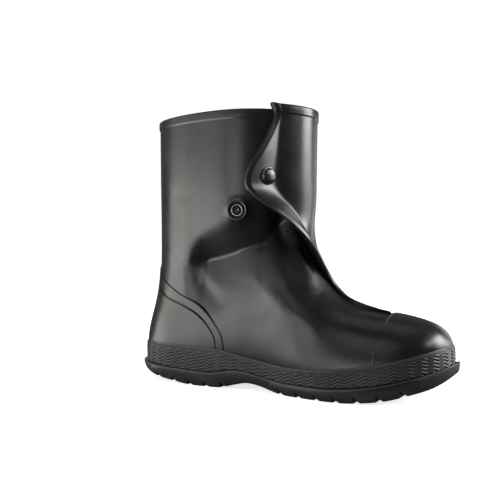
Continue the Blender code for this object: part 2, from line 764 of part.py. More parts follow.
def add_snap(rubber_look, metal):
    for name, look, profile, top, frame, seat in (
        ("snap_cap", metal, CAP_PROFILE, CAP_TOP, flap_frame(-1), CAP_SEAT),
        ("snap_socket", metal, SOCKET_RING, None, flap_frame(1), SNAP_SEAT),
        ("stud_boss", rubber_look, BOSS_RING, None, stud_frame(), SNAP_SEAT),
        ("snap_stud", metal, STUD_RING, None, stud_frame(), SNAP_SEAT),
    ):
        point, normal = frame
        centre = point + seat * normal
        add_object(name, look, lambda bm: turned(bm, profile, centre, normal, top))


def centre_on_origin():
    """Moves the boot so that the origin is on the floor, in the middle of its width."""
    across = [vert.co.y for piece in bpy.data.objects for vert in piece.data.vertices]
    heights = [vert.co.z for piece in bpy.data.objects for vert in piece.data.vertices]
    for piece in bpy.data.objects:
        piece.location.y = -(min(across) + max(across)) / 2
        piece.location.z = -min(heights)


def main():
    for old in list(bpy.data.objects):
        bpy.data.objects.remove(old, do_unlink=True)
    black = plain_material("black_rubber", (0.022, 0.021, 0.020), 0.42)
    sole_black = plain_material("sole_rubber", (0.018, 0.018, 0.018), 0.60)
    metal = plain_material("dark_snap", (0.10, 0.10, 0.10), 0.35, 0.9)
    add_upper(black)
    add_outsole(sole_black)
    add_foxing(sole_black)
    add_toe_cap(black)
    add_counter(black)
    add_snap(black, metal)
    centre_on_origin()


main()
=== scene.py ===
import bpy
import numpy as np
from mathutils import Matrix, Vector


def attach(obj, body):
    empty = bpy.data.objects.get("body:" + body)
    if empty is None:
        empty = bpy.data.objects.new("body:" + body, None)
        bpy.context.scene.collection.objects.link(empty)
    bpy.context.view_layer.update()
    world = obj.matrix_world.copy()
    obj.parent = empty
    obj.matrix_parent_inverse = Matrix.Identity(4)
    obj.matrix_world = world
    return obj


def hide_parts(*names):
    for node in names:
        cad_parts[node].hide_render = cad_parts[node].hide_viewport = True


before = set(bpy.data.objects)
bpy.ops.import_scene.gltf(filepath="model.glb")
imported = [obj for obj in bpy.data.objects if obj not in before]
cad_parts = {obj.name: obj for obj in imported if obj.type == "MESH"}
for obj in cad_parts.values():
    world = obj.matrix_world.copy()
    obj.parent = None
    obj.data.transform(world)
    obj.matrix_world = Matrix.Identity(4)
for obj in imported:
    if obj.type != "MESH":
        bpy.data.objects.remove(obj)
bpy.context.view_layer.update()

MM = 0.001


def table(columns, *rows):
    """Named columns of a short table with a row for each section."""
    return dict(zip(columns.split(), np.array(rows, dtype=float).T))


# Sizes of the boot in millimetres; most are the solids' own
HEIGHT = 267.0
WALL = 2.0
SEAT = 0.3
TOE_X = 166.0
HEEL_X = -166.0
SIDE_SHIFT = 5.4  # the middle of the boot's width is the frame's origin
FLOOR_DROP = 2.4  # heights count from this much above the floor

SOLE = table(
    "x     shift  half   bed   tread  band",
    (-166,  0.0,  48.0,  17.2, 14.0,  39.4),
    (-150,  0.0,  48.0,  16.7,  8.2,  39.4),
    (-134,  0.0,  48.0,  16.0,  4.4,  39.2),
    (-114, -0.3,  47.4,  14.6,  1.0,  38.8),
    (-97,  -0.6,  46.7,  13.5, -1.6,  38.2),
    (-87,  -0.8,  46.4,  12.9, -2.4,  37.8),
    (-66,  -1.2,  45.6,  12.6, -2.4,  37.0),
    (-56,  -1.7,  44.8,  13.8, -2.2,  36.4),
    (-46,  -2.1,  44.1,  16.0,  0.6,  35.0),
    (-38,  -2.4,  44.0,  17.0,  2.6,  33.4),
    (-26,  -2.7,  44.3,  16.2,  5.0,  31.1),
    (-14,  -2.8,  45.2,  14.1,  3.8,  29.3),
    (10,   -2.6,  49.0,  10.7, -1.4,  26.2),
    (22,   -2.4,  51.0,   9.7, -2.4,  25.3),
    (59,   -0.6,  58.8,   9.4, -2.4,  26.4),
    (76,    0.4,  60.2,  10.6, -2.2,  28.6),
    (92,    1.6,  60.4,  12.4, -0.9,  31.0),
    (112,   3.6,  58.6,  15.6,  1.3,  35.8),
    (132,   5.5,  57.4,  20.7,  6.5,  41.2),
    (150,   7.4,  56.0,  26.0, 12.0,  46.6),
    (166,   9.0,  54.0,  32.0, 22.5,  50.6),
)
HEEL_ROUND = 48.0
TOE_ROUND = 80.0
TREADS = table(
    "rear  front  lugs",
    (-127,  -53,  4),
    (13,    128,  6),
)
FRONT_LINE = table(
    "x z",
    (158.5, 12), (159.4, 38), (158.4, 48), (154.8, 56), (147.0, 63),
    (136.0, 67.6), (121.0, 71.6), (104.0, 74.6), (87.0, 77.2), (73.0, 80.0),
    (62.0, 85), (53.0, 93), (45.0, 103), (37.5, 115), (31.0, 128),
    (26.4, 142), (25.0, 158), (26.6, 180), (27.2, 220), (28.0, 267),
)
SECTIONS = table(
    "z    back    round_back  round_front  heel  waist  ball  toe",
    (12,  -159.2, 48,         84,          42.0, 39.0,  53.0, 53.5),
    (40,  -158.9, 48,         80,          43.5, 41.5,  56.0, 56.5),
    (55,  -156.8, 49,         68,          44.0, 43.0,  56.5, 57.0),
    (76,  -151.8, 54,         46,          44.7, 44.5,  56.5, 57.0),
    (95,  -148.4, 62,         50,          45.6, 46.5,  55.0, 55.0),
    (125, -146.7, 74,         66,          47.8, 50.5,  54.0, 54.0),
    (160, -146.6, 84,         84,          51.0, 54.0,  54.0, 54.0),
    (200, -146.8, 86,         87,          53.5, 56.5,  56.5, 56.5),
    (267, -147.0, 87,         87,          55.5, 58.0,  58.0, 58.0),
)
STATIONS = table(
    "heel  waist  ball  toe",
    (-115, -25,   65,   130),
)
FLAP = table(
    "z     root  reach  lift  lay   fold",
    (12,   60,   0,     0.0,  0.0,  0.53),
    (60,   40,   0,     0.0,  0.0,  0.53),
    (70,   18,   0,     0.0,  0.0,  0.53),
    (74.3, 6,    0,     0.0,  0.0,  0.53),
    (75,   4.8,  0,     2.6,  0.0,  0.53),
    (77,   4.8,  0,     14.0, 0.0,  0.53),
    (80,   4.8,  0,     15.5, 0.0,  0.53),
    (84.5, 4.8,  0,     11.0, 0.0,  0.53),
    (91,   4.8,  1,     5.5,  0.0,  0.53),
    (99,   5.0,  2,     5.0,  0.05, 0.53),
    (109,  5.5,  4,     6.0,  0.12, 0.53),
    (121,  6.0,  8,     8.0,  0.25, 0.53),
    (134,  7.0,  14,    11.5, 0.42, 0.53),
    (147,  8.0,  23,    15.0, 0.62, 0.53),
    (160,  9.0,  34.5,  18.0, 0.82, 0.53),
    (172,  10.0, 49,    20.0, 0.95, 0.53),
    (184,  10.0, 65,    18.5, 1.0,  0.58),
    (197,  10.0, 73.5,  19.0, 1.0,  0.60),
    (210,  10.0, 71.5,  17.5, 1.0,  0.615),
    (224,  10.0, 64,    12.0, 1.0,  0.69),
    (241,  10.0, 55,    4.0,  1.0,  0.80),
    (258,  10.0, 48.5,  -1.0, 1.0,  0.88),
    (267,  10.0, 52.5,  -0.5, 1.0,  0.82),
)
FLAP_HALF = 2.9
PLEAT_GAP = 4.0  # between flap and wall where the pleat turns
PLEAT_RUN = 86.0  # length over which the wall comes back out
FLAP_SIZES = ("root", "reach", "lift", "lay", "fold")
FLARE_TURN = 0.35  # share of the flare in which it bends; the rest is straight
FLARE_STEP = 0.01  # share of the reach over which its heading is taken
COLLAR_BAND = 8.7
COLLAR_STEP = 1.0
FLAP_RISE = 4.5
CORNER_RISE = 3.0
WALL_RISE = 2.0
RISE_FROM = 205.0
OUTER_RISE_RUN = 210.0
OUTER_RISE_FLAT = 60.0
INNER_RISE_RUN = 42.0


# Curves
def smoothstep(r):
    r = np.clip(r, 0, 1)
    return r * r * (3 - 2 * r)


def ramp(at, start, end):
    """0 before start, 1 after end, smooth between them; end may be below start."""
    return smoothstep((at - start) / (end - start))


def round_end(r):
    """Quarter of an ellipse: 0 at the tip, 1 from r = 1 on."""
    return np.sqrt(1 - (1 - np.clip(r, 0, 1)) ** 2)


def mix(a, b, share):
    return a + (b - a) * share


def cubic(xs, ys, tangent, at):
    """Smooth curve through points with given tangents."""
    i = np.clip(np.searchsorted(xs, at) - 1, 0, len(xs) - 2)
    shape = (-1,) + (1,) * (ys.ndim - 1)
    step = (xs[i + 1] - xs[i]).reshape(shape)
    t = (at - xs[i]).reshape(shape) / step
    start = (1 + 2 * t) * (1 - t) ** 2 * ys[i] + t * (1 - t) ** 2 * step * tangent[i]
    end = t * t * (3 - 2 * t) * ys[i + 1] - t * t * (1 - t) * step * tangent[i + 1]
    return start + end


def monotone(xs, ys, at):
    """Smooth curve through points, with no overshoot."""
    slope = np.diff(ys) / np.diff(xs)
    product = slope[:-1] * slope[1:]
    total = slope[:-1] + slope[1:]
    inner = np.where(product > 0, 2 * product / np.where(product > 0, total, 1), 0)
    return cubic(xs, ys, np.concatenate([slope[:1], inner, slope[-1:]]), at)


BLUR_REACH = 4  # widths of the softening that count


def blurred(values, width):
    """Values softened over width samples, with straight ends."""
    reach = int(BLUR_REACH * width) + 1
    offsets = np.arange(-reach, reach + 1)
    weights = np.exp(-0.5 * (offsets / width) ** 2)
    before = values[0] - (values[1] - values[0]) * np.arange(reach, 0, -1)
    after = values[-1] + (values[-1] - values[-2]) * np.arange(1, reach + 1)
    padded = np.concatenate([before, values, after])
    return np.convolve(padded, weights / weights.sum(), mode="valid")


FINE = 0.5  # spacing of the dense tables
SOLE_SOFTEN = 3.0  # lengths over which their curves are softened
SECTION_SOFTEN = 7.0
FLAP_SOFTEN = 2.2
SWELL_SOFTEN = 4.0


def dense(rows, soften):
    """A table at fine spacing, its curves softened over a length."""
    key = next(iter(rows))
    at = np.arange(rows[key][0], rows[key][-1] + FINE / 2, FINE)
    made = {key: at}
    for name, ys in rows.items():
        if name != key:
            made[name] = blurred(monotone(rows[key], ys, at), soften / FINE)
    return made


def lookup(rows, column, at):
    return np.interp(at, rows[next(iter(rows))], rows[column])


SOLE_FINE = dense(SOLE, SOLE_SOFTEN)
SECTIONS_FINE = dense(SECTIONS, SECTION_SOFTEN)


def sole(column, x):
    return lookup(SOLE_FINE, column, x)


def section(column, z):
    return lookup(SECTIONS_FINE, column, z)


def run_along(points):
    """Length of a line of points up to each of them."""
    return np.concatenate([[0], np.cumsum(np.linalg.norm(np.diff(points, axis=0), axis=1))])


def curve_through(rows, count):
    """Evenly spaced points on a smooth curve through the rows of a table."""
    points = np.stack(list(rows.values()), axis=1)
    along = run_along(points)
    tangent = np.gradient(points, along, axis=0)
    return cubic(along, points, tangent, np.linspace(0, along[-1], count))


# Line of the front, by its own length from the toe's foot
FRONT_COUNT = 700
FRONT_SOFTEN = 7  # in points of the curve
FRONT_CURVE = curve_through(FRONT_LINE, FRONT_COUNT)
FRONT_CURVE = np.stack([blurred(column, FRONT_SOFTEN) for column in FRONT_CURVE.T], axis=1)
FRONT_RUN = run_along(FRONT_CURVE)
FRONT_RISE = np.maximum.accumulate(FRONT_CURVE[:, 1])


def front_x(z):
    return np.interp(z, FRONT_RISE, FRONT_CURVE[:, 0])


def top_z(x):
    beyond_nose = FRONT_CURVE[np.argmax(FRONT_CURVE[:, 0]):]
    return np.interp(-np.asarray(x), -beyond_nose[:, 0], beyond_nose[:, 1])


def back_x(z):
    return section("back", z)


def front_at(run):
    """Point of the front line at a length along it."""
    return np.array([np.interp(run, FRONT_RUN, c) for c in FRONT_CURVE.T])


def run_at(z):
    """Length along the front line at a height."""
    return np.interp(z, FRONT_RISE, FRONT_RUN)


def flap_by_run():
    """The flap's table against the length of the front line."""
    at = np.arange(0, FRONT_RUN[-1] + FINE, FINE)
    made = {"run": at}
    runs = run_at(FLAP["z"])
    for name in FLAP_SIZES:
        made[name] = blurred(monotone(runs, FLAP[name], np.minimum(at, runs[-1])), FLAP_SOFTEN / FINE)
    return made


FLAP_FINE = flap_by_run()

SOFT = 0.8  # softening of the distance to the front line
LEAST_DEPTH = 0.1  # least distance to it, as a share of the level one
SWELL = table(
    "over out",
    (-40, 3.2), (0, 3.2), (18, 2.3), (43, 0.6), (70, 0.0),
)
SWELL_FORWARD = (10.0, 70.0, 0.35)  # it lessens from this place to that one, to this share
SWELL_FULL = 25.0  # half-width from which on it has its full size
SWELL_FINE = dense(SWELL, SWELL_SOFTEN)


def depth_behind_front(x, z):
    """Distance to the front line, blended so that the line's bends leave no ridge."""
    far = (x[..., None] - FRONT_CURVE[:, 0]) ** 2 + (z[..., None] - FRONT_CURVE[:, 1]) ** 2
    spacing = FRONT_RUN[-1] / (len(FRONT_CURVE) - 1)
    straight_line = 8 / (3 * np.pi)
    blended = (straight_line * spacing * np.sum((far + SOFT ** 2) ** -3, axis=-1)) ** -0.4
    return np.sqrt(np.maximum(blended - SOFT ** 2, 0))


def nominal_half(x, z):
    names = list(STATIONS)
    half = section(names[0], z)
    for rear, front in zip(names, names[1:]):
        rear_x = STATIONS[rear][0]
        share = ramp(x, rear_x, STATIONS[front][0])
        half = half + share * (section(front, z) - section(rear, z))
    return half


def half_width(x, z):
    gap = np.maximum(front_x(z) - x, 0)
    depth = np.clip(depth_behind_front(x, z), LEAST_DEPTH * gap, gap)
    front = round_end(depth / section("round_front", z))
    back = round_end((x - back_x(z)) / section("round_back", z))
    return nominal_half(x, z) * front * back


def swell(x, z):
    """The foot stands steeper at heel and waist than its sections."""
    over = z - sole("band", x)
    first, last, share = SWELL_FORWARD
    forward = mix(1.0, share, ramp(x, first, last))
    return np.interp(over, SWELL_FINE["over"], SWELL_FINE["out"]) * forward


def skin(x, side, z):
    """Point of the base form; side is -1 on the outer side and 1 on the inner side."""
    x, z = np.broadcast_arrays(np.asarray(x, dtype=float), np.asarray(z, dtype=float))
    half = half_width(x, z)
    half = half + swell(x, z) * np.minimum(half / SWELL_FULL, 1)
    return np.stack([x, sole("shift", x) + side * half, z], axis=-1)


def bed_height(x):
    return sole("bed", x) + SEAT


TINY = 1e-12


def unit(vectors):
    return vectors / (np.linalg.norm(vectors, axis=-1)[..., None] + TINY)


class Outline:
    """Outline of the base form along one row, measured from its front tip."""

    COUNT = 260

    def __init__(self, rear, front, height):
        share = (1 - np.cos(np.linspace(0, np.pi, self.COUNT))) / 2
        x = mix(rear, front, share)
        z = height(x)
        x = np.maximum(x, back_x(z))
        self.points = np.vstack([skin(x, -1, z), skin(x, 1, z)[-2::-1]])
        run = run_along(self.points[:, :2])
        self.along = run[self.COUNT - 1] - run
        ring = np.vstack([self.points[-2:-1], self.points, self.points[1:2]])
        tangent = unit((ring[2:] - ring[:-2])[:, :2])
        self.normals = np.stack([tangent[:, 1], -tangent[:, 0], 0 * tangent[:, 0]], axis=1)

    def at(self, distance, lift=0.0):
        distance, lift = np.broadcast_arrays(np.asarray(distance, dtype=float), lift)
        point = np.stack([np.interp(-distance, -self.along, c) for c in self.points.T], axis=-1)
        normal = np.stack([np.interp(-distance, -self.along, c) for c in self.normals.T], axis=-1)
        return point + lift[..., None] * unit(normal)

    def columns(self, side, root, count, crowding):
        length = abs(self.along[0] if side < 0 else self.along[-1])
        return -side * mix(length, root, 1 - np.linspace(1, 0, count) ** crowding)


# Creases of the outer side: lines (x, z), half-width, and depth, which is below 0 for a ridge
CREASES = (
    (((-91, 186), (-92, 160), (-91, 134), (-79, 115), (-63, 101), (-50, 91)), 10.0, -1.2),
    (((-100, 130), (-86, 111), (-69, 93), (-50, 77)), 8.0, 1.1),
    (((11, 162), (16, 141), (21, 122), (27, 104)), 6.0, 3.6),
    (((20, 140), (26, 122), (35, 103), (42, 92)), 5.0, -2.0),
    (((23, 141), (29, 127), (35, 114)), 1.9, 2.6),
)
# Hollow over the ankle: its deepest line, and how far it reaches up
HOLLOW = table(
    "x z rise",
    (-90, 119, 26), (-72, 124, 33), (-54, 128, 40), (-36, 133, 44),
    (-8, 141, 46), (3, 152, 46), (16, 164, 46),
)
HOLLOW_DEPTH = 15.0
HOLLOW_FALL = 68.0  # how far it reaches down
HOLLOW_TURN = 0.006  # rounding of its deepest line, as a share of that
HOLLOW_EDGE = 0.65  # how abruptly its roof starts at that line
HOLLOW_STEEP = 1.7  # how steep it is just below that line
HOLLOW_ENDS = (-98, -72, 8, 30)  # along the boot: its start, full from, full to, its end
CREASE_POINTS = 24
CREASE_ENDS = 0.8  # below 1, creases end bluntly


def line_distance(points, line):
    """Distance of points to a line through a few points, and how far along it the nearest place is."""
    steps = np.linalg.norm(np.diff(line, axis=0), axis=1)
    starts = run_along(line)
    best = np.full(len(points), np.inf)
    place = np.zeros(len(points))
    for i, length in enumerate(steps):
        heading = (line[i + 1] - line[i]) / length
        t = np.clip((points - line[i]) @ heading, 0, length)
        far = np.linalg.norm(points - line[i] - t[:, None] * heading, axis=1)
        closer = far < best
        best = np.where(closer, far, best)
        place = np.where(closer, (starts[i] + t) / starts[-1], place)
    return best, place


STUD_X = -30.6
STUD_HEIGHT = 172.5
MOUND = 1.6  # the wall rises round the stud's ring
MOUND_RINGS = (7.4, 9.0, 14.5)  # radii where that starts, is highest and ends


def crease_depth(x, z):
    """How far the hollow and the creases push a place of the outer side in."""
    over = z - np.interp(x, HOLLOW["x"], HOLLOW["z"])
    rise = np.interp(x, HOLLOW["x"], HOLLOW["rise"])
    under = np.sqrt((over / HOLLOW_FALL) ** 2 + HOLLOW_TURN ** 2) - HOLLOW_TURN
    upward = np.clip(over / rise, 0, 1)
    roof = mix(1 - smoothstep(upward), (1 - upward) ** 2, HOLLOW_EDGE)
    across = np.where(over > 0, roof, np.maximum(1 - under, 0) ** HOLLOW_STEEP)
    rear, full_from, full_to, front = HOLLOW_ENDS
    along = ramp(x, rear, full_from) * ramp(x, front, full_to)
    depth = HOLLOW_DEPTH * across * along
    for points, width, deepest in CREASES:
        rows = np.array(points, dtype=float).T
        line = curve_through({"x": rows[0], "z": rows[1]}, CREASE_POINTS)
        far, place = line_distance(np.stack([x, z], axis=1), line)
        depth = depth + deepest * np.sin(np.pi * place) ** CREASE_ENDS * np.exp(-(far / width) ** 2)
    far = np.hypot(x - STUD_X, z - STUD_HEIGHT)
    inside, top, outside = MOUND_RINGS
    return depth - MOUND * ramp(far, inside, top) * ramp(far, outside, top)


# Rows of the upper, by the length of the front line
LOW_FRONT = 29.5
LOW_RUN = run_at(LOW_FRONT)
LEVEL_FROM = 104.0  # from this height on rows are level
BACK_FOOT = 14.6
ROW_BOW = 0.10  # how far the rows below bow up at the back
BED_RUN = 70.0  # length over which rows leave the bed's curve


def row_shape(run):
    """Front point of a row, its height at the back and its height along the foot."""
    front = front_at(run)
    level_run = run_at(LEVEL_FROM)
    share = np.clip((run - LOW_RUN) / (level_run - LOW_RUN), 0, 1)
    bend = share + ROW_BOW * np.sin(np.pi * share) * share
    rear_z = front[1] if run >= level_run else mix(BACK_FOOT, LEVEL_FROM, bend)
    rear = float(back_x(rear_z))
    lowest = front_at(LOW_RUN)
    lowest_rear = float(back_x(BACK_FOOT))
    follow = np.clip(1 - (run - LOW_RUN) / BED_RUN, 0, 1) ** 2

    def height(x):
        line = rear_z + (front[1] - rear_z) * (x - rear) / (front[0] - rear)
        low_line = BACK_FOOT + (lowest[1] - BACK_FOOT) * (x - lowest_rear) / (lowest[0] - lowest_rear)
        return line + follow * (bed_height(x) - low_line)

    return rear, front, height


def row_outline(run):
    """Outline of a row, its front point and the flap's sizes there."""
    rear, front, height = row_shape(run)
    size = {name: float(lookup(FLAP_FINE, name, run)) for name in FLAP_SIZES}
    return Outline(rear, front[0], height), front, size


OUTER_COLUMNS = 146
INNER_COLUMNS = 78
OUTER_CROWDING = 1.35  # above 1, columns come closer together at the flap
FACE_COLUMNS = 30
FACE_START = 0.06  # first column of the flap's faces, as a share of their width
FACE_CROWDING = 0.9
FACE_GAP = 1.2  # between their even columns and the bevel
BEVEL = 1.5  # how far the flap's outside falls off towards its edge
BEVEL_LOW = 2.3  # the same on the ridge
BEVEL_TURN = (150.0, 190.0)  # heights between which one becomes the other
BEVEL_RUN = 3.8
BEVEL_SHARE = 0.45  # the most that it takes of the flap's reach
BEVEL_COLUMNS = (1.1, 1.0, 0.9, 0.6, 0.3, 0.12, 0.05, 0.0)
CORNER = 0.8  # rounding of the flap's edge
CORNER_SHARE = 0.9  # the most that it takes of the flap's half thickness
CORNER_TURNS = np.radians((0, 18, 38, 58, 78, 90))
EDGE_COLUMNS = (0.08, 0.36, 0.64, 0.92)
LEAST_LIFT = 1.5  # least lift of an upright flap
LAID_LIFT = 4.0  # how much less that is for one laid over
FULL_LIFT = 3.0  # lift from which on the flap has its full form
TURN_UPRIGHT = 0.85  # where the wall turns into the flap, as a share of its root
TURN_LAID = 0.3
INNER_START = 1.5  # where the inner wall starts behind a flap laid over
SPREAD = 0.8  # half-width of a flap without lift, as a share of its root


def flap_middle(outline, size, along, face):
    """Point of the flap's inside or outside, where along runs from root to edge."""
    point, _, across = flap_curve(outline, size)(np.array([along]))
    return point[0] + FLAP_HALF * face * across[0]


def flap_curve(outline, size):
    """Middle line of the flap as a function of its share of reach: point, heading and the way across."""
    lift = max(size["lift"], LEAST_LIFT - LAID_LIFT * size["lay"])

    def place(u):
        way = np.maximum((u - size["fold"]) / (1 - size["fold"]), 0)
        flare = np.where(way < FLARE_TURN, way ** 2 / (2 * FLARE_TURN), way - FLARE_TURN / 2)
        folded = mix(-FLAP_HALF, lift, flare / (1 - FLARE_TURN / 2))
        return outline.at(u * size["reach"], mix(u * lift, folded, size["lay"]))

    def middle(u):
        u = np.asarray(u, dtype=float)
        point = place(u)
        heading = unit(point - place(u - FLARE_STEP))
        across = np.stack([heading[:, 1], -heading[:, 0], 0 * heading[:, 0]], axis=1)
        return point, heading, across

    return middle


def flap_row(outline, size, half, short, bevel=0.0):
    """The flap round from the shaft's side to its outside, half thick, its edge short of its reach."""
    middle = flap_curve(outline, size)
    ends, _, _ = middle([1 - FLARE_STEP, 1.0])
    length = np.linalg.norm(ends[1] - ends[0]) / FLARE_STEP
    corner = min(CORNER, CORNER_SHARE * half)
    last = 1 - (corner + short) / length
    bevel_run = min(BEVEL_RUN, BEVEL_SHARE * length)
    rim = last - bevel_run * np.array(BEVEL_COLUMNS) / length
    face = np.linspace(FACE_START, 1, FACE_COLUMNS - len(rim)) ** FACE_CROWDING
    u = np.concatenate([face * (rim[0] - FACE_GAP / length), rim])
    point, heading, across = middle(u)
    sunk = bevel * bevel_run / BEVEL_RUN * np.clip(1 - (last - u) * length / bevel_run, 0, 1)
    near = point + half * across
    outside = point - (half - sunk)[:, None] * across
    centre, ahead, sideways = (v[-1] for v in (point, heading, across))

    def arc(way, thick):
        """Rounding of the edge on one face."""
        return [
            centre + way * sideways * (thick - corner + corner * np.cos(t)) + ahead * corner * np.sin(t)
            for t in CORNER_TURNS[1:]
        ]

    arc_near = arc(1, half)
    arc_out = arc(-1, half - sunk[-1])
    flat = [mix(arc_near[-1], arc_out[-1], s) for s in EDGE_COLUMNS]
    return np.vstack([near, arc_near, flat, arc_out[::-1], outside[::-1]])


FLAP_COUNT = 2 * FACE_COLUMNS + 2 * (len(CORNER_TURNS) - 1) + len(EDGE_COLUMNS)
FLAP_ENDS = (0, FACE_COLUMNS, FLAP_COUNT - FACE_COLUMNS, FLAP_COUNT)
FLAP_SHARES = np.interp(np.arange(FLAP_COUNT), FLAP_ENDS, (0, 1, 1, 0))


def upper_row(run):
    """One row of the upper: its outside, the inside of the flap, and how far the flap stands out."""
    outline, front, size = row_outline(run)
    lay = size["lay"]
    root = size["root"]
    pleat = lay * (2 * FLAP_HALF + PLEAT_GAP)
    outer = outline.columns(-1, root, OUTER_COLUMNS, OUTER_CROWDING)
    base = outline.at(outer)
    dip = -pleat * (1 - smoothstep((outer - root) / PLEAT_RUN)) - crease_depth(base[:, 0], base[:, 2])
    outer_wall = outline.at(outer, dip)
    turn_place = root * mix(TURN_UPRIGHT, TURN_LAID, lay)
    turn = outline.at([turn_place], -lay * (2 * FLAP_HALF + PLEAT_GAP / 2))
    inner = outline.columns(1, mix(root, INNER_START, lay), INNER_COLUMNS, 1.0)
    inner_wall = outline.at(inner)
    spread = outline.at(np.linspace(SPREAD, -SPREAD, FLAP_COUNT) * root)
    stands = smoothstep(max(size["lift"] / FULL_LIFT, lay))
    z = front[1]
    bevel = mix(BEVEL_LOW, BEVEL, ramp(z, *BEVEL_TURN))
    flap = mix(spread, flap_row(outline, size, FLAP_HALF, 0.0, bevel), stands)
    lining = mix(spread, flap_row(outline, size, FLAP_HALF - WALL, 2 * WALL), stands)
    pulled = ramp(z, RISE_FROM, HEIGHT)
    beside_flap = ramp(outer, OUTER_RISE_RUN, OUTER_RISE_FLAT)
    outer_wall[:, 2] += pulled * WALL_RISE * beside_flap
    turn[:, 2] += pulled * WALL_RISE
    flap_rise = pulled * (FLAP_RISE + CORNER_RISE * FLAP_SHARES)
    flap[:, 2] += flap_rise
    lining[:, 2] += flap_rise
    inner_wall[:, 2] += pulled * FLAP_RISE * smoothstep(1 + inner / INNER_RISE_RUN)
    row = np.vstack([outer_wall, turn, flap, inner_wall[:0:-1]])
    return row, lining, stands


def grid_normals(grid, wrap):
    if wrap:
        across = np.roll(grid, -1, axis=1) - np.roll(grid, 1, axis=1)
    else:
        across = np.gradient(grid, axis=1)
    return unit(np.cross(across, np.gradient(grid, axis=0)))


# Blender objects
def add_object(name, data):
    made = bpy.data.objects.new(name, data)
    bpy.context.scene.collection.objects.link(made)
    return made


def add_piece(node, verts, faces, material, wear, sharp=None):
    """A piece that stands for a node of the solids."""
    name = "boot_" + node
    mesh = bpy.data.meshes.new(name)
    placed = (np.asarray(verts) + (0, SIDE_SHIFT, FLOOR_DROP)) * MM
    mesh.from_pydata(placed.tolist(), [], [list(map(int, f)) for f in faces])
    mesh.validate()
    mesh.shade_smooth()
    if sharp is not None:
        mesh.set_sharp_from_angle(angle=np.radians(sharp))
    layer = mesh.attributes.new("wear", "FLOAT", "POINT")
    layer.data.foreach_set("value", np.asarray(wear, dtype=np.float32).ravel())
    mesh.materials.append(material)
    piece = add_object(name, mesh)
    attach(piece, "root")
    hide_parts(node)


def grid_faces(rows, columns, wrap_rows, wrap_columns, start=0):
    i, j = np.meshgrid(
        np.arange(rows if wrap_rows else rows - 1),
        np.arange(columns if wrap_columns else columns - 1),
        indexing="ij",
    )
    here = i * columns
    above = (i + 1) % rows * columns
    following = (j + 1) % columns
    quads = np.stack([here + j, here + following, above + following, above + j], axis=-1)
    return quads.reshape(-1, 4) + start


# Materials: scales of their noises, strengths, and ranges of a noise with what they become
NOISE_ROUGH = 0.55
CLOUDS = 28.0
SPECKS = 420.0
MIDDLE = (0.3, 0.7)
CLOUD_DUST = (0.35, 0.75, 0.0, 0.5)
SPECK_DUST = (0.35, 0.7, 0.3, 1.0)
SPECK_WEAR = (*MIDDLE, 0.5, 1.0)
CLOUD_GLOSS = (-0.04, 0.05)
GRAIN_GLOSS = 0.02
CLOUD_BUMP = (0.25, 0.0006)
GRAIN_HEIGHT = 0.00012
METAL_CLOUDS = 160.0
METAL_SPECKS = 900.0
METAL_WEAR = (*MIDDLE, 0.6, 1.0)
METAL_GLOSS = (-0.05, 0.08)
METAL_BUMP = (0.1, 0.00005)
METALLIC = 0.9


def new_material(name):
    material = bpy.data.materials.new(name)
    material.use_nodes = True
    tree = material.node_tree
    return material, tree, tree.nodes["Principled BSDF"]


def set_inputs(tree, node, inputs):
    """Each input of a shader node is a number, a colour or a link."""
    for socket, value in inputs.items():
        if isinstance(value, bpy.types.NodeSocket):
            tree.links.new(value, node.inputs[socket])
        else:
            node.inputs[socket].default_value = value


def add_node(tree, kind, inputs, **settings):
    node = tree.nodes.new("ShaderNode" + kind)
    for name, value in settings.items():
        setattr(node, name, value)
    set_inputs(tree, node, inputs)
    return node


def add_noise(tree, coords, scale, detail=3.0):
    inputs = {"Vector": coords, "Scale": scale, "Detail": detail, "Roughness": NOISE_ROUGH}
    return add_node(tree, "TexNoise", inputs).outputs["Fac"]


def add_range(tree, value, low, high, to_low, to_high, kind="LINEAR"):
    inputs = {"Value": value, "From Min": low, "From Max": high, "To Min": to_low, "To Max": to_high}
    return add_node(tree, "MapRange", inputs, interpolation_type=kind).outputs["Result"]


def add_math(tree, kind, a, b):
    return add_node(tree, "Math", {0: a, 1: b}, operation=kind).outputs["Value"]


def add_distance(tree, place, middle):
    return add_node(tree, "VectorMath", {0: place, 1: middle}, operation="DISTANCE").outputs["Value"]


def add_mix(tree, share, a, b):
    inputs = {"Factor": share, "A": (*a, 1.0), "B": (*b, 1.0)}
    return add_node(tree, "Mix", inputs, data_type="RGBA").outputs["Result"]


def add_bump(tree, height, strength, distance, normal=None):
    inputs = {"Height": height, "Strength": strength, "Distance": distance}
    if normal is not None:
        inputs["Normal"] = normal
    return add_node(tree, "Bump", inputs).outputs["Normal"]


def add_wear(tree):
    return add_node(tree, "Attribute", {}, attribute_name="wear").outputs["Fac"]


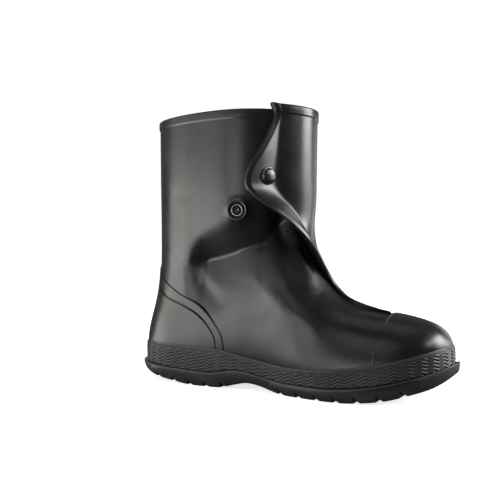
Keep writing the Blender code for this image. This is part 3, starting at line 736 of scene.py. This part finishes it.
def rubber(name, dark, pale, rough, grain, grain_size, specular):
    """Moulded rubber: cloudy gloss, fine grain, paler where it is worn."""
    material, tree, shader = new_material(name)
    coords = tree.nodes.new("ShaderNodeTexCoord").outputs["Object"]
    clouds = add_noise(tree, coords, CLOUDS, detail=4.0)
    specks = add_noise(tree, coords, SPECKS)
    fine = add_noise(tree, coords, 1 / MM / grain_size, detail=2.0)
    dusty = add_range(tree, clouds, *CLOUD_DUST)
    dust = add_math(tree, "MULTIPLY", dusty, add_range(tree, specks, *SPECK_DUST))
    worn = add_math(tree, "MULTIPLY", add_wear(tree), add_range(tree, specks, *SPECK_WEAR))
    share = add_math(tree, "MAXIMUM", dust, worn)
    smoother, rougher = CLOUD_GLOSS
    broad = add_range(tree, clouds, *MIDDLE, rough + smoother, rough + rougher)
    gloss = add_math(tree, "ADD", broad, add_range(tree, fine, *MIDDLE, -GRAIN_GLOSS, GRAIN_GLOSS))
    soft = add_bump(tree, clouds, *CLOUD_BUMP)
    set_inputs(tree, shader, {
        "Base Color": add_mix(tree, share, dark, pale),
        "Roughness": gloss,
        "Specular IOR Level": specular,
        "Normal": add_bump(tree, fine, grain, GRAIN_HEIGHT, soft),
    })
    return material


def metal(name, colour, pale, rough):
    """Dark metal, paler where it is worn."""
    material, tree, shader = new_material(name)
    coords = tree.nodes.new("ShaderNodeTexCoord").outputs["Object"]
    specks = add_noise(tree, coords, METAL_SPECKS)
    clouds = add_noise(tree, coords, METAL_CLOUDS)
    share = add_math(tree, "MULTIPLY", add_wear(tree), add_range(tree, clouds, *METAL_WEAR))
    smoother, rougher = METAL_GLOSS
    set_inputs(tree, shader, {
        "Base Color": add_mix(tree, share, colour, pale),
        "Roughness": add_range(tree, specks, *MIDDLE, rough + smoother, rough + rougher),
        "Metallic": METALLIC,
        "Normal": add_bump(tree, specks, *METAL_BUMP),
    })
    return material


UPPER_LOOK = rubber(
    "satin_black_rubber",
    dark=(0.005, 0.005, 0.005),
    pale=(0.017, 0.0165, 0.016),
    rough=0.29,
    grain=0.20,
    grain_size=0.7,
    specular=0.30,
)
SOLE_LOOK = rubber(
    "grained_black_rubber",
    dark=(0.016, 0.016, 0.0155),
    pale=(0.070, 0.067, 0.064),
    rough=0.48,
    grain=0.75,
    grain_size=1.1,
    specular=0.30,
)
CAP_LOOK = metal("dark_enamel", colour=(0.045, 0.041, 0.037), pale=(0.22, 0.205, 0.19), rough=0.26)
STUD_LOOK = metal("stud_metal", colour=(0.03, 0.029, 0.028), pale=(0.34, 0.33, 0.31), rough=0.32)


# Upper
LOW_ROWS = 76
SHAFT_ROWS = 66
SHAFT_END = 1.2  # how far below the collar's band they end
BAND_LOW = (-0.4, 0.0, 0.9, 1.2, 3.5)  # heights of the rows at the band, from its foot
BAND_HIGH = (-1.6, -0.5, 0.0)  # and from its top
RIM_IN = (0.0, 0.0, 0.0, 0.0, 0.25, 0.9)  # how far its rows draw in from its face
FLAP_WEAR = 0.5
RIM_WEAR = 0.35
RIM_ROWS = 3


def upper_runs():
    """Places of the rows along the front line, close together at the collar's band."""
    foot = HEIGHT - COLLAR_BAND
    low = np.linspace(LOW_RUN, run_at(LEVEL_FROM), LOW_ROWS)
    shaft = np.linspace(run_at(LEVEL_FROM), run_at(foot - SHAFT_END), SHAFT_ROWS)[1:]
    band = np.concatenate([foot + np.array(BAND_LOW), HEIGHT + np.array(BAND_HIGH)])
    return np.concatenate([low, shaft, run_at(band)])


def make_upper():
    made = [upper_row(float(run)) for run in upper_runs()]
    outer, linings, stands = (np.array(part) for part in zip(*made))
    normals = grid_normals(outer, wrap=True)
    inner = outer - WALL * normals
    flap = slice(OUTER_COLUMNS + 1, OUTER_COLUMNS + 1 + FLAP_COUNT)
    inner[:, flap] = mix(inner[:, flap], linings, stands[:, None, None])
    step = np.zeros(len(outer))
    step[-len(RIM_IN):] = COLLAR_STEP - np.array(RIM_IN)
    outer += step[:, None, None] * normals
    for face in (outer, inner):
        face[0, :, 2] = bed_height(face[0, :, 0])
        face[-1, :, 2] = outer[-1, :, 2]
    grid = np.concatenate([outer, inner[::-1]])
    wear = np.zeros(grid.shape[:2])
    edge = slice(flap.start + FACE_COLUMNS - 1, flap.stop - FACE_COLUMNS + 1)
    wear[: len(outer), edge] = FLAP_WEAR
    wear[len(outer) - RIM_ROWS : len(outer)] = RIM_WEAR
    faces = grid_faces(*grid.shape[:2], True, True)
    add_piece("upper", grid.reshape(-1, 3), faces, UPPER_LOOK, wear)


make_upper()


# Overlays on the upper
OVERLAY_SEAT = 0.4
OVERLAY_BED = -0.25  # their backs lie in the rubber of the upper
OVERLAY_LIP = 0.1  # their thickness at the edge
OVERLAY_ROUND = 1.0
OVERLAY_TUCK = 1.5  # overlays run down behind the ribbed band
OVERLAY_WEAR = 0.45
WORN_FROM = 0.02  # share of their rise from which on the edge is worn
EDGE_STEPS = (0.0, 0.12, 0.3, 0.55, 0.9, 1.4)
EDGE_MARGIN = 2.4
TOE_CAP_X = 106.5
TOE_CAP_SLANT = 6.4
TOE_CAP_BEND = (0.3, 0.9)
TOE_CAP_BOW = 1.9
TOE_CAP_THICK = 1.1
TOE_CAP_ACROSS = (120.0, 90)  # length, and number of columns away from the edges
TOE_CAP_ALONG = (62.0, 44)
NOSE_GAP = 0.05
NOSE_STEPS = 30
COUNTER_THICK = 0.6
COUNTER_GROOVE = 0.6
COUNTER_POINTS = 400
COUNTER_ROUND = (330.0, 130)
COUNTER_CROWDING = 1.5
PANEL_TAPER = 0.985
PANEL_RISE = (60.0, 36)
STRAP_RISE = (12.0, 5)
PANEL_LINE = table(
    "back height",
    (0, 103), (24, 88), (55, 78), (76, 68), (90, 57), (98, 46), (100, 36),
)
STRAP_LINE = table(
    "back height",
    (0, 119), (15, 107), (46, 91), (75, 78), (94, 63), (106, 49), (109.5, 35),
)


def edge_shares(length, count):
    """Shares across a sheet, close together along both of its edges."""
    near = np.array(EDGE_STEPS) / length
    middle = np.linspace(EDGE_MARGIN / length, 1 - EDGE_MARGIN / length, count)
    return np.concatenate([near, middle, 1 - near[::-1]])


def edge_distance(grid):
    """Distance of each point of a grid to the nearest of its four edges, along its rows and columns."""
    def along(axis):
        steps = np.linalg.norm(np.diff(grid, axis=axis), axis=2)
        pad = [(0, 0), (0, 0)]
        pad[axis] = (1, 0)
        run = np.cumsum(np.pad(steps, pad), axis=axis)
        return np.minimum(run, run.take([-1], axis=axis) - run)

    return np.minimum(along(0), along(1))


def add_sheet(node, grid, thickness):
    """A raised sheet with rounded edges whose back lies in the upper."""
    normals = grid_normals(grid, wrap=False)
    rise = round_end(edge_distance(grid) / OVERLAY_ROUND)
    height = mix(OVERLAY_BED + OVERLAY_LIP, OVERLAY_SEAT + thickness, rise)
    outer = grid + height[:, :, None] * normals
    inner = grid + OVERLAY_BED * normals
    verts = np.concatenate([outer, inner]).reshape(-1, 3)
    rows, columns = grid.shape[:2]
    faces = [grid_faces(rows, columns, False, False)]
    faces.append(grid_faces(rows, columns, False, False, rows * columns)[:, ::-1])
    index = np.arange(rows * columns).reshape(rows, columns)
    rim = np.concatenate([index[0, :-1], index[:-1, -1], index[-1, :0:-1], index[:0:-1, 0]])
    following = np.roll(rim, -1)
    back = rows * columns
    faces.append(np.stack([following, rim, rim + back, following + back], axis=1))
    worn = OVERLAY_WEAR * (1 - rise) * (rise > WORN_FROM)
    wear = np.concatenate([worn, np.zeros((rows, columns))])
    add_piece(node, verts, np.concatenate(faces), UPPER_LOOK, wear)


def make_toe_cap():
    nose = TOE_X
    for _ in range(NOSE_STEPS):
        nose = float(front_x(sole("band", nose) - OVERLAY_TUCK))
    across = mix(-1, 1, edge_shares(*TOE_CAP_ACROSS))
    rear = TOE_CAP_X - TOE_CAP_SLANT * ramp(np.abs(across), *TOE_CAP_BEND)
    rows = []
    for share in edge_shares(*TOE_CAP_ALONG):
        x = mix(rear, nose - NOSE_GAP, np.sin(share * np.pi / 2))
        low = sole("band", x) - OVERLAY_TUCK
        z = mix(top_z(x), low, np.abs(across) ** TOE_CAP_BOW)
        rows.append(skin(x, np.sign(across), z))
    add_sheet("toe_cap", np.array(rows)[:, ::-1], TOE_CAP_THICK)


def counter_line(rows):
    fine = curve_through(rows, COUNTER_POINTS)
    places = np.abs(mix(-1, 1, edge_shares(*COUNTER_ROUND))) ** COUNTER_CROWDING
    at = places * (len(fine) - 1)
    line = np.stack([np.interp(at, np.arange(len(fine)), column) for column in fine.T], axis=1)
    return line, np.where(np.arange(len(line)) < len(line) / 2, 1, -1)


def counter_sheet(lower, upper, side, shares):
    rows = []
    for share in shares:
        line = mix(lower, upper, share)
        rows.append(skin(back_x(line[:, 1]) + line[:, 0], side, line[:, 1]))
    return np.array(rows)


def make_counter():
    panel, side = counter_line(PANEL_LINE)
    strap, _ = counter_line(STRAP_LINE)
    heel_x = back_x(panel[:, 1]) + panel[:, 0]
    foot_z = sole("band", heel_x) - OVERLAY_TUCK
    foot = np.stack([panel[:, 0] * PANEL_TAPER, foot_z], axis=1)
    groove = panel + COUNTER_GROOVE * (strap - panel) / np.linalg.norm(strap - panel, axis=1)[:, None]
    for node, lower, upper, rise in (
        ("heel_counter", foot, panel, PANEL_RISE),
        ("counter_strap", groove, strap, STRAP_RISE),
    ):
        grid = counter_sheet(lower, upper, side, edge_shares(*rise))
        add_sheet(node, grid, COUNTER_THICK)


make_toe_cap()
make_counter()

# Ribbed band
BAND_THICK = 1.9
BAND_BED = -0.2  # its back lies in the rubber of the upper
BAND_PLAIN = 4.0
BAND_FOOT = 0.8
BAND_STEPS = 12
FOOT_IN = (0.5, 0.4)  # how far its two lowest rows lie behind its face
RIB_IN = 0.45  # and the ground of its ribs
RIB_RELIEF = 0.95
RIB_PITCH = 3.1
RIB_ROWS = 58
RIB_RISE = 0.34  # shares of a rib's width in which it rises and falls
RIB_FALL = 0.66
RIB_CROWN = 0.15
RIB_FADE = 0.8
RIB_WEAR = 0.30
RIB_WEAR_POWER = 4
CHEVRONS = 62
CHEVRON_SAMPLES = 12
ZIGZAG = 0.46
BAND_HEAD = (  # rows of its plain top: height above the ribs, and out from its face
    (0.15, -0.4), (0.45, 0.25), (0.8, 0.38), (1.2, 0.25), (1.7, -0.35),
    (2.3, -0.75), (2.9, -0.9), (3.4, -0.85), (3.8, -0.8), (4.0, -1.0),
)
HEAD_WORN_FROM = 0.2
HEAD_WEAR = 0.25


def make_foxing():
    count = CHEVRONS * CHEVRON_SAMPLES

    def middle(x):
        return mix(bed_height(x), sole("band", x), 0.5)

    front = TOE_X
    rear = HEEL_X
    for _ in range(BAND_STEPS):
        front = float(front_x(middle(front)))
        rear = float(back_x(middle(rear)))
    outline = Outline(rear, front, middle)
    evenly = np.linspace(outline.along[0], outline.along[-1], count, endpoint=False)
    x = outline.at(evenly)[:, 0]
    share = (x - rear) / (front - rear)
    side = np.where(evenly >= 0, -1, 1)
    low = bed_height(x)
    top = sole("band", x)
    phase = (np.arange(count) / CHEVRON_SAMPLES) % 1.0
    zigzag = 1 - 4 * np.abs(phase - 0.5)

    def ring(z, out):
        wall = mix(back_x(z), front_x(z), share)
        points = skin(wall, side, z)
        around = np.roll(points, -1, axis=0) - np.roll(points, 1, axis=0)
        away = unit(np.stack([around[:, 1], -around[:, 0], 0 * z], axis=1))
        return points + np.broadcast_to(out, z.shape)[:, None] * away

    def foot_ring(out):
        points = ring(low, out)
        points[:, 2] = bed_height(points[:, 0])
        return points

    foot = low + BAND_FOOT
    head = top - BAND_PLAIN
    face = SEAT + BAND_THICK
    rows = [(foot_ring(face - FOOT_IN[0]), 0.0), (ring(foot, face - FOOT_IN[1]), 0.0)]
    for v in np.linspace(0, 1, RIB_ROWS):
        z = mix(foot, head, v)
        saw = ((head - z) / RIB_PITCH + ZIGZAG * zigzag) % 1.0
        ridge = np.where(saw < RIB_RISE, saw / RIB_RISE, (1 - saw) / RIB_FALL)
        ridge = ridge * (1 + RIB_CROWN - RIB_CROWN * ridge)
        within = np.clip((head - z) / RIB_FADE, 0, 1)
        out = face - RIB_IN + RIB_RELIEF * within * ridge
        rows.append((ring(z, out), RIB_WEAR * ridge ** RIB_WEAR_POWER))
    for rise, out in BAND_HEAD:
        rows.append((ring(head + rise, face + out), HEAD_WEAR if out > HEAD_WORN_FROM else 0.0))
    for z in (top, mix(low, top, 0.5)):
        rows.append((ring(z, BAND_BED), 0.0))
    rows.append((foot_ring(BAND_BED), 0.0))
    grid = np.array([points for points, _ in rows])
    wear = np.array([np.broadcast_to(worn, count) for _, worn in rows])
    faces = grid_faces(*grid.shape[:2], True, True)
    add_piece("foxing", grid.reshape(-1, 3), faces, SOLE_LOOK, wear)


make_foxing()

# Sole
LIP_ROUND = ((1.2, 0.0), (0.5, 0.06), (0.15, 0.25), (0.0, 0.7))
LIP_SHARE = 0.3  # the most that the lip's rounding takes of the half-width
TREAD_INSET = 4.2
TREAD_SHARE = 0.4  # the most that the inset and the lugs take of it
TREAD_FADE = 1.5
SIDE_POWER = 1.5
SIDE_SHARES = (0.1, 0.22, 0.35, 0.48, 0.6, 0.7, 0.79, 0.87, 0.93, 0.97, 1.0)
LUG_DEPTH = 16.0
LUG_EDGE = 1.1
LUG_EDGE_SHARE = 0.1
END_ROUND = 7.0
TOE_LIFT = 4.0
HEEL_LIFT = 1.0
FIELD_RECESS = 0.9
FIELD_SLOPE = ((0.0, 0.25), (0.4, 0.85))  # share of the slope's width, and of the recess
FIELD_COLUMNS = 121
GROOVE_SIDE = 6.5
GROOVE_FLOOR = 2.0
GROOVE_HALF = 3.3
GROOVE_POWER = 1.5
GROOVE_CUT = 1.9
GROOVE_EDGE = 1.2
GROOVE_BOW = 0.8
GROOVE_SHARES = (0.06, 0.2, 0.4, 0.6, 0.8, 0.95)
GROOVE_LEAN = 0.6  # how far grooves lean to the heel on their way up the side
LEAN_MARGIN = -9.0
LEAN_FADE = 8.0
LEAN_TOP = 3.0  # the lean ends this far below the lip
TIP = 0.03
HEEL_ARC = -131.0  # beyond these places stations crowd towards the tips
TOE_ARC = 132.0
ARC_STATIONS = 40
WAIST = (-49.0, 9.0)
TREAD_STEP = 0.62
WAIST_STEP = 1.5
PIT_ROWS = 9.0
PIT_COLUMNS = 4.8
PIT_STAGGER = (4.2, 2.4)
PIT_HALF = (1.7, 1.2)
PIT_DEPTH = 1.7
PIT_EDGE = 0.5
PIT_MARGIN = (4.5, 1.8)
NO_FADE = 0.01
LIP_WEAR = 0.4
LIP_WORN = (4, 6)  # first and last point of the profile that it wears
SOLE_SHARP = 50  # degrees from which on an edge is sharp


def flange_half(x):
    heel = round_end((x - HEEL_X) / HEEL_ROUND)
    toe = round_end((TOE_X - x) / TOE_ROUND)
    return sole("half", x) * heel * toe


def sole_widths(x):
    """Offsets of the flange, the tread's edge, the lugs' inner edge and the pitted field."""
    half = flange_half(x)
    edge = half - np.minimum(TREAD_INSET, TREAD_SHARE * half)
    lug = edge - np.minimum(LUG_DEPTH, TREAD_SHARE * half)
    return half, edge, lug, lug - np.minimum(LUG_EDGE, LUG_EDGE_SHARE * lug)


def groove_distance(x):
    middles = []
    for rear, front, lugs in zip(*TREADS.values()):
        middles.extend(np.linspace(rear, front, int(lugs) + 1))
    return np.abs(x[:, None] - np.array(middles)).min(axis=1)


def in_treads(x, margin, fade):
    share = np.zeros_like(x)
    for rear, front in zip(TREADS["rear"], TREADS["front"]):
        begun = smoothstep((x - rear - margin) / fade + 0.5)
        unended = smoothstep((front - margin - x) / fade + 0.5)
        share = np.maximum(share, begun * unended)
    return share


def pits(x, y):
    """Share of a pit's depth at places of the tread: staggered pairs of rows inside the field."""
    deepest = np.zeros_like(x)
    for row_start, column_start in ((0.0, 0.0), PIT_STAGGER):
        row = np.round((x - row_start) / PIT_ROWS) * PIT_ROWS + row_start
        column = np.round((y - column_start) / PIT_COLUMNS) * PIT_COLUMNS + column_start
        room = sole_widths(row)[3] - PIT_HALF[1] - PIT_MARGIN[1]
        near = np.abs(column - sole("shift", row)) < room
        inside = near & (in_treads(row, PIT_MARGIN[0], NO_FADE) > 0.5)
        along = smoothstep((PIT_HALF[0] - np.abs(x - row)) / PIT_EDGE + 0.5)
        across = smoothstep((PIT_HALF[1] - np.abs(y - column)) / PIT_EDGE + 0.5)
        deepest = np.maximum(deepest, along * across * inside)
    return deepest


def sole_stations():
    turns = np.linspace(0, np.pi / 2, ARC_STATIONS)
    heel = mix(HEEL_ARC, HEEL_X + TIP, np.cos(turns))[:-1]
    toe = mix(TOE_ARC, TOE_X - TIP, np.cos(turns[::-1]))[1:]
    rear, front = WAIST
    rear_tread = np.arange(HEEL_ARC, rear, TREAD_STEP)
    waist = np.arange(rear, front, WAIST_STEP)
    front_tread = np.arange(front, TOE_ARC, TREAD_STEP)
    return np.concatenate([heel, rear_tread, waist, front_tread, toe])


def make_outsole():
    x = sole_stations()
    half, edge, lug, field = sole_widths(x)
    bed = sole("bed", x)
    shift = sole("shift", x)
    tread = sole("tread", x)
    tread = tread + TOE_LIFT * (1 - round_end((TOE_X - x) / END_ROUND))
    tread = tread + HEEL_LIFT * (1 - round_end((x - HEEL_X) / END_ROUND))
    off = groove_distance(x)
    notch = np.clip(1 - off / GROOVE_HALF, 0, 1) ** GROOVE_POWER
    cut = 1 - smoothstep((off - GROOVE_CUT) / GROOVE_EDGE)
    treaded = in_treads(x, 0.0, TREAD_FADE)
    profile = [(0 * x, bed), (0.5 * half, bed)]
    for inset, drop in LIP_ROUND:
        profile.append((half - np.minimum(inset, LIP_SHARE * half), bed - drop))
    side_top = bed - LIP_ROUND[-1][1]
    deepest = 1 - GROOVE_SIDE * notch / (side_top - tread)
    for share in SIDE_SHARES:
        s = share * deepest
        bulge = (1 - s ** SIDE_POWER) ** (1 / SIDE_POWER)
        profile.append((mix(edge, half, bulge), mix(side_top, tread, s)))
    mouth, foot = profile[-1]
    for share in GROOVE_SHARES:
        height = mix(foot, tread + GROOVE_FLOOR * cut, share ** GROOVE_BOW)
        profile.append((mix(mouth, lug, share), height))
    for share, sunk in FIELD_SLOPE:
        height = tread + np.maximum(GROOVE_FLOOR * cut, sunk * FIELD_RECESS * treaded)
        profile.append((mix(lug, field, share), height))
    offsets, heights = (np.array(part) for part in zip(*profile))
    leaning = in_treads(x, LEAN_MARGIN, LEAN_FADE) * np.clip(heights - tread, 0, GROOVE_SIDE)
    lean = GROOVE_LEAN * leaning * np.clip((side_top - heights) / LEAN_TOP, 0, 1)
    outer = np.stack([x - lean, shift - offsets, heights], axis=-1)
    inner = np.stack([x - lean, shift + offsets, heights], axis=-1)
    across = np.linspace(1, -1, FIELD_COLUMNS)[:, None]
    floor_y = shift - field * across
    floor_x = np.broadcast_to(x, floor_y.shape)
    floor_z = tread + FIELD_RECESS * treaded + PIT_DEPTH * pits(floor_x, floor_y)
    floor = np.stack([floor_x, floor_y, floor_z], axis=-1)
    grid = np.concatenate([outer, floor, inner[:0:-1]]).transpose(1, 0, 2)
    rows, columns = grid.shape[:2]
    wear = np.zeros((rows, columns))
    first, last = LIP_WORN
    wear[:, first : last + 1] = LIP_WEAR
    wear[:, -last : 1 - first] = LIP_WEAR
    faces = grid_faces(rows, columns, False, True).tolist()
    faces.append(list(range(columns))[::-1])
    faces.append(list(range((rows - 1) * columns, rows * columns)))
    add_piece("outsole", grid.reshape(-1, 3), faces, SOLE_LOOK, wear, SOLE_SHARP)


make_outsole()

# Snap
SNAP_HEIGHT = 204.3
SNAP_ALONG = 0.78
SNAP_SEAT = 0.5
CAP_SEAT = 1.0  # the cap lies in the hollow of the flap
SNAP_SHARP = 55
ROUND_SIDES = 56
NEARBY = 5.0  # distance over which a surface's tilt is taken
NEARBY_SHARE = 0.1  # and along the flap, as a share of its reach
CAP_PROFILE = (
    (0.0, 3.7), (1.6, 3.66), (3.2, 3.5), (4.7, 3.2), (6.0, 2.75), (7.0, 2.15), (7.5, 1.6), (7.65, 1.2),
    (7.6, 0.95), (7.9, 0.9), (8.2, 0.7), (8.25, 0.4), (8.1, 0.0), (7.9, -0.7), (0.0, -0.7),
)
SOCKET_PROFILE = (
    (3.0, -0.6), (6.2, -0.6), (6.25, 0.5), (6.1, 0.9), (5.6, 1.45), (5.0, 1.6), (3.6, 1.6), (3.15, 1.45),
    (3.0, 1.1),
)
BOSS_PROFILE = (
    (5.7, -2.4), (10.2, -2.4), (10.0, 0.8), (9.5, 1.25), (9.1, 1.4), (8.8, 1.3), (8.3, 0.95), (7.3, 0.3),
    (6.4, -0.3), (5.8, -0.6),
)
STUD_PROFILE = (
    (0.0, 0.1), (1.3, 0.1), (1.7, 0.4), (2.0, 0.75), (2.3, 0.85), (2.55, 0.7), (2.8, 0.1), (3.1, -0.2),
    (4.2, 0.5), (4.8, 1.0), (5.0, 1.25), (5.2, 1.35), (5.4, 1.3), (5.5, 1.1), (5.55, 0.8), (5.6, -0.8),
    (0.0, -0.8),
)
CAP_WORN = (7.8, 8.3)  # radii between which a piece is worn
SOCKET_WORN = (5.0, 6.2)
STUD_WORN = (5.0, 5.4)
NOT_WORN = (20.0, 21.0)


def flap_frame(face):
    def at(z, along):
        outline, _, size = row_outline(float(run_at(z)))
        return flap_middle(outline, size, along, face)

    point = at(SNAP_HEIGHT, SNAP_ALONG)
    along = at(SNAP_HEIGHT, SNAP_ALONG + NEARBY_SHARE) - at(SNAP_HEIGHT, SNAP_ALONG - NEARBY_SHARE)
    upwards = at(SNAP_HEIGHT + NEARBY, SNAP_ALONG) - at(SNAP_HEIGHT - NEARBY, SNAP_ALONG)
    return point, unit(np.cross(upwards, along) * -face)


def stud_frame():
    def at(x, z):
        return skin(np.array(x), -1, np.array(z))

    along = at(STUD_X + NEARBY, STUD_HEIGHT) - at(STUD_X - NEARBY, STUD_HEIGHT)
    upwards = at(STUD_X, STUD_HEIGHT + NEARBY) - at(STUD_X, STUD_HEIGHT - NEARBY)
    return at(STUD_X, STUD_HEIGHT), unit(np.cross(along, upwards))


def add_turned(node, profile, place, look, slot, worn, seat):
    """A profile of radius and height turned about a surface's normal; worn is where its wear shows."""
    point, normal = place
    sideways = unit(np.cross(normal, (0.0, 0.0, 1.0)))
    upwards = np.cross(sideways, normal)
    centre = point + seat * normal
    angles = np.linspace(0, 2 * np.pi, ROUND_SIDES, endpoint=False)
    spokes = np.cos(angles)[:, None] * sideways + np.sin(angles)[:, None] * upwards
    verts = []
    wear = []
    rings = []
    for radius, height in profile:
        start = len(verts)
        if radius == 0:
            verts.append(centre + height * normal)
            rings.append(np.full(ROUND_SIDES, start))
        else:
            verts.extend(centre + height * normal + radius * spokes)
            rings.append(start + np.arange(ROUND_SIDES))
        wear.extend([float(worn[0] <= radius <= worn[1] and height > 0)] * (len(verts) - start))
    faces = []
    pairs = list(zip(rings, rings[1:]))
    if profile[0][0] > 0:
        pairs.append((rings[-1], rings[0]))
    for a, b in pairs:
        for k in range(ROUND_SIDES):
            after = (k + 1) % ROUND_SIDES
            corners = [a[k], b[k], b[after], a[after]]
            if profile[0][0] == 0:
                corners.reverse()
            faces.append(list(dict.fromkeys(int(c) for c in corners)))
    add_piece(node, verts, faces, look, wear, SNAP_SHARP)


def make_snap():
    on_shaft = stud_frame()
    for turned in (
        ("snap_cap", CAP_PROFILE, flap_frame(-1), CAP_LOOK, "snap_metal", CAP_WORN, CAP_SEAT),
        ("snap_socket", SOCKET_PROFILE, flap_frame(1), STUD_LOOK, "snap_metal", SOCKET_WORN, SNAP_SEAT),
        ("stud_boss", BOSS_PROFILE, on_shaft, UPPER_LOOK, "upper_rubber", NOT_WORN, SNAP_SEAT),
        ("snap_stud", STUD_PROFILE, on_shaft, STUD_LOOK, "snap_metal", STUD_WORN, SNAP_SEAT),
    ):
        add_turned(*turned)


make_snap()

# Camera and light
FRAME_PIXELS = 500.0
FOCAL_PIXELS = 757.0
SENSOR = 36.0
CAMERA_PLACE = (0.3091, -0.6943, 0.147)  # from the sections' own zero
CAMERA_TURN = 27.0
CAMERA_DIP = 1.0
FLOOR_WHITE = (0.35, 1.3, 0.74, 1.1)  # seen floor: distances, and its glow at them
FLOOR_POOLS = (  # light on the floor: middle, full and whole reach, glow
    ((-0.60, -0.56, 0.0), 0.44, 0.635, 7.0),
    ((-0.20, 0.80, 0.0), 0.35, 0.62, 2.0),
)
FLOOR_DIM = 0.05
FLOOR_PALE = (0.8, 0.8, 0.8)
FLOOR_GREY = (0.06, 0.06, 0.06)  # what the floor throws back at the boot
FLOOR_ROUGH = 0.9
FLOOR_REACH = 12.0
WHITE = (1.0, 1.0, 1.0, 1.0)
DIM_WORLD = 0.14
WHITE_WORLD = 1.05
WARM = (1.0, 0.96, 0.91)
WARM_WHITE = (1.0, 0.97, 0.94)
COOL = (0.97, 0.98, 1.0)
PLAIN = (1.0, 1.0, 1.0)
# Softboxes: name, place, aim, width, height, radiance, colour
SOFTBOXES = (
    ("key_low", (-1.00, -0.73, 0.13), (-0.03, 0.0, 0.15), 1.5, 0.26, 6.8, WARM),
    ("key_high", (-0.88, -0.68, 0.58), (-0.03, 0.0, 0.12), 1.3, 0.64, 1.8, WARM),
    ("key_right", (-0.05, -1.30, 0.19), (0.0, 0.0, 0.12), 0.7, 0.36, 5.2, WARM_WHITE),
    ("key_top", (-0.10, -1.05, 0.95), (0.0, 0.0, 0.1), 0.9, 0.5, 1.7, WARM_WHITE),
    ("side_high", (1.08, 0.57, 0.60), (0.05, 0.0, 0.08), 0.66, 0.56, 20.0, COOL),
    ("side_left", (1.22, -0.05, 0.74), (0.1, 0.0, 0.05), 0.45, 0.45, 8.0, COOL),
    ("side_low", (1.02, 0.72, 0.17), (0.03, 0.0, 0.15), 0.9, 0.34, 5.5, COOL),
    ("overhead", (0.0, 0.1, 1.5), (0.0, 0.05, 0.1), 1.0, 1.0, 0.7, PLAIN),
    ("back", (-0.70, 0.95, 0.75), (0.0, 0.0, 0.15), 0.9, 0.5, 2.5, PLAIN),
    ("rim", (0.31, 1.20, 0.22), (0.03, 0.0, 0.15), 0.5, 0.44, 1.5, COOL),
)


def add_camera():
    data = bpy.data.cameras.new("camera")
    data.sensor_width = SENSOR
    data.lens = FOCAL_PIXELS / FRAME_PIXELS * SENSOR
    camera = add_object("camera", data)
    turn = np.radians(CAMERA_TURN)
    dip = np.radians(CAMERA_DIP)
    x, y, z = CAMERA_PLACE
    camera.location = (x, y + SIDE_SHIFT * MM, z + FLOOR_DROP * MM)
    ahead = Vector((-np.sin(turn) * np.cos(dip), np.cos(turn) * np.cos(dip), -np.sin(dip)))
    camera.rotation_euler = ahead.to_track_quat("-Z", "Y").to_euler()
    bpy.context.scene.camera = camera


def add_softbox(name, place, aim, width, height, radiance, colour):
    data = bpy.data.lights.new(name, "AREA")
    data.shape = "RECTANGLE"
    data.size = width
    data.size_y = height
    data.energy = radiance * width * height * np.pi
    data.color = colour
    light = add_object(name, data)
    light.location = place
    heading = Vector(aim) - Vector(place)
    light.rotation_euler = heading.to_track_quat("-Z", "Y").to_euler()
    light.visible_camera = False


def add_stage():
    material, tree, shader = new_material("pale_floor")
    place = tree.nodes.new("ShaderNodeTexCoord").outputs["Object"]
    pools = [
        add_range(tree, add_distance(tree, place, middle), full, reach, glow, FLOOR_DIM, "SMOOTHSTEP")
        for middle, full, reach, glow in FLOOR_POOLS
    ]
    pool = add_math(tree, "MAXIMUM", *pools)
    white = add_range(tree, add_distance(tree, place, (0.0, 0.0, 0.0)), *FLOOR_WHITE)
    seen = tree.nodes.new("ShaderNodeLightPath").outputs["Is Camera Ray"]
    brighter = add_math(tree, "MULTIPLY", seen, add_math(tree, "SUBTRACT", white, pool))
    set_inputs(tree, shader, {
        "Base Color": add_mix(tree, seen, FLOOR_GREY, FLOOR_PALE),
        "Roughness": FLOOR_ROUGH,
        "Specular IOR Level": 0.0,
        "Emission Color": WHITE,
        "Emission Strength": add_math(tree, "ADD", pool, brighter),
    })
    mesh = bpy.data.meshes.new("floor")
    corners = [(x * FLOOR_REACH, y * FLOOR_REACH, 0) for x, y in ((-1, -1), (1, -1), (1, 1), (-1, 1))]
    mesh.from_pydata(corners, [], [(0, 1, 2, 3)])
    mesh.materials.append(material)
    floor = add_object("floor", mesh)
    world = bpy.data.worlds.new("studio")
    world.use_nodes = True
    tree = world.node_tree
    dim = tree.nodes["Background"]
    set_inputs(tree, dim, {"Color": WHITE, "Strength": DIM_WORLD})
    white = add_node(tree, "Background", {"Color": WHITE, "Strength": WHITE_WORLD})
    seen = tree.nodes.new("ShaderNodeLightPath").outputs["Is Camera Ray"]
    inputs = {"Fac": seen, 1: dim.outputs["Background"], 2: white.outputs["Background"]}
    blend = add_node(tree, "MixShader", inputs)
    set_inputs(tree, tree.nodes["World Output"], {"Surface": blend.outputs["Shader"]})
    bpy.context.scene.world = world
    for box in SOFTBOXES:
        add_softbox(*box)


add_camera()
add_stage()
bpy.context.scene.view_settings.view_transform = "Standard"
bpy.context.scene.cycles.use_denoising = True
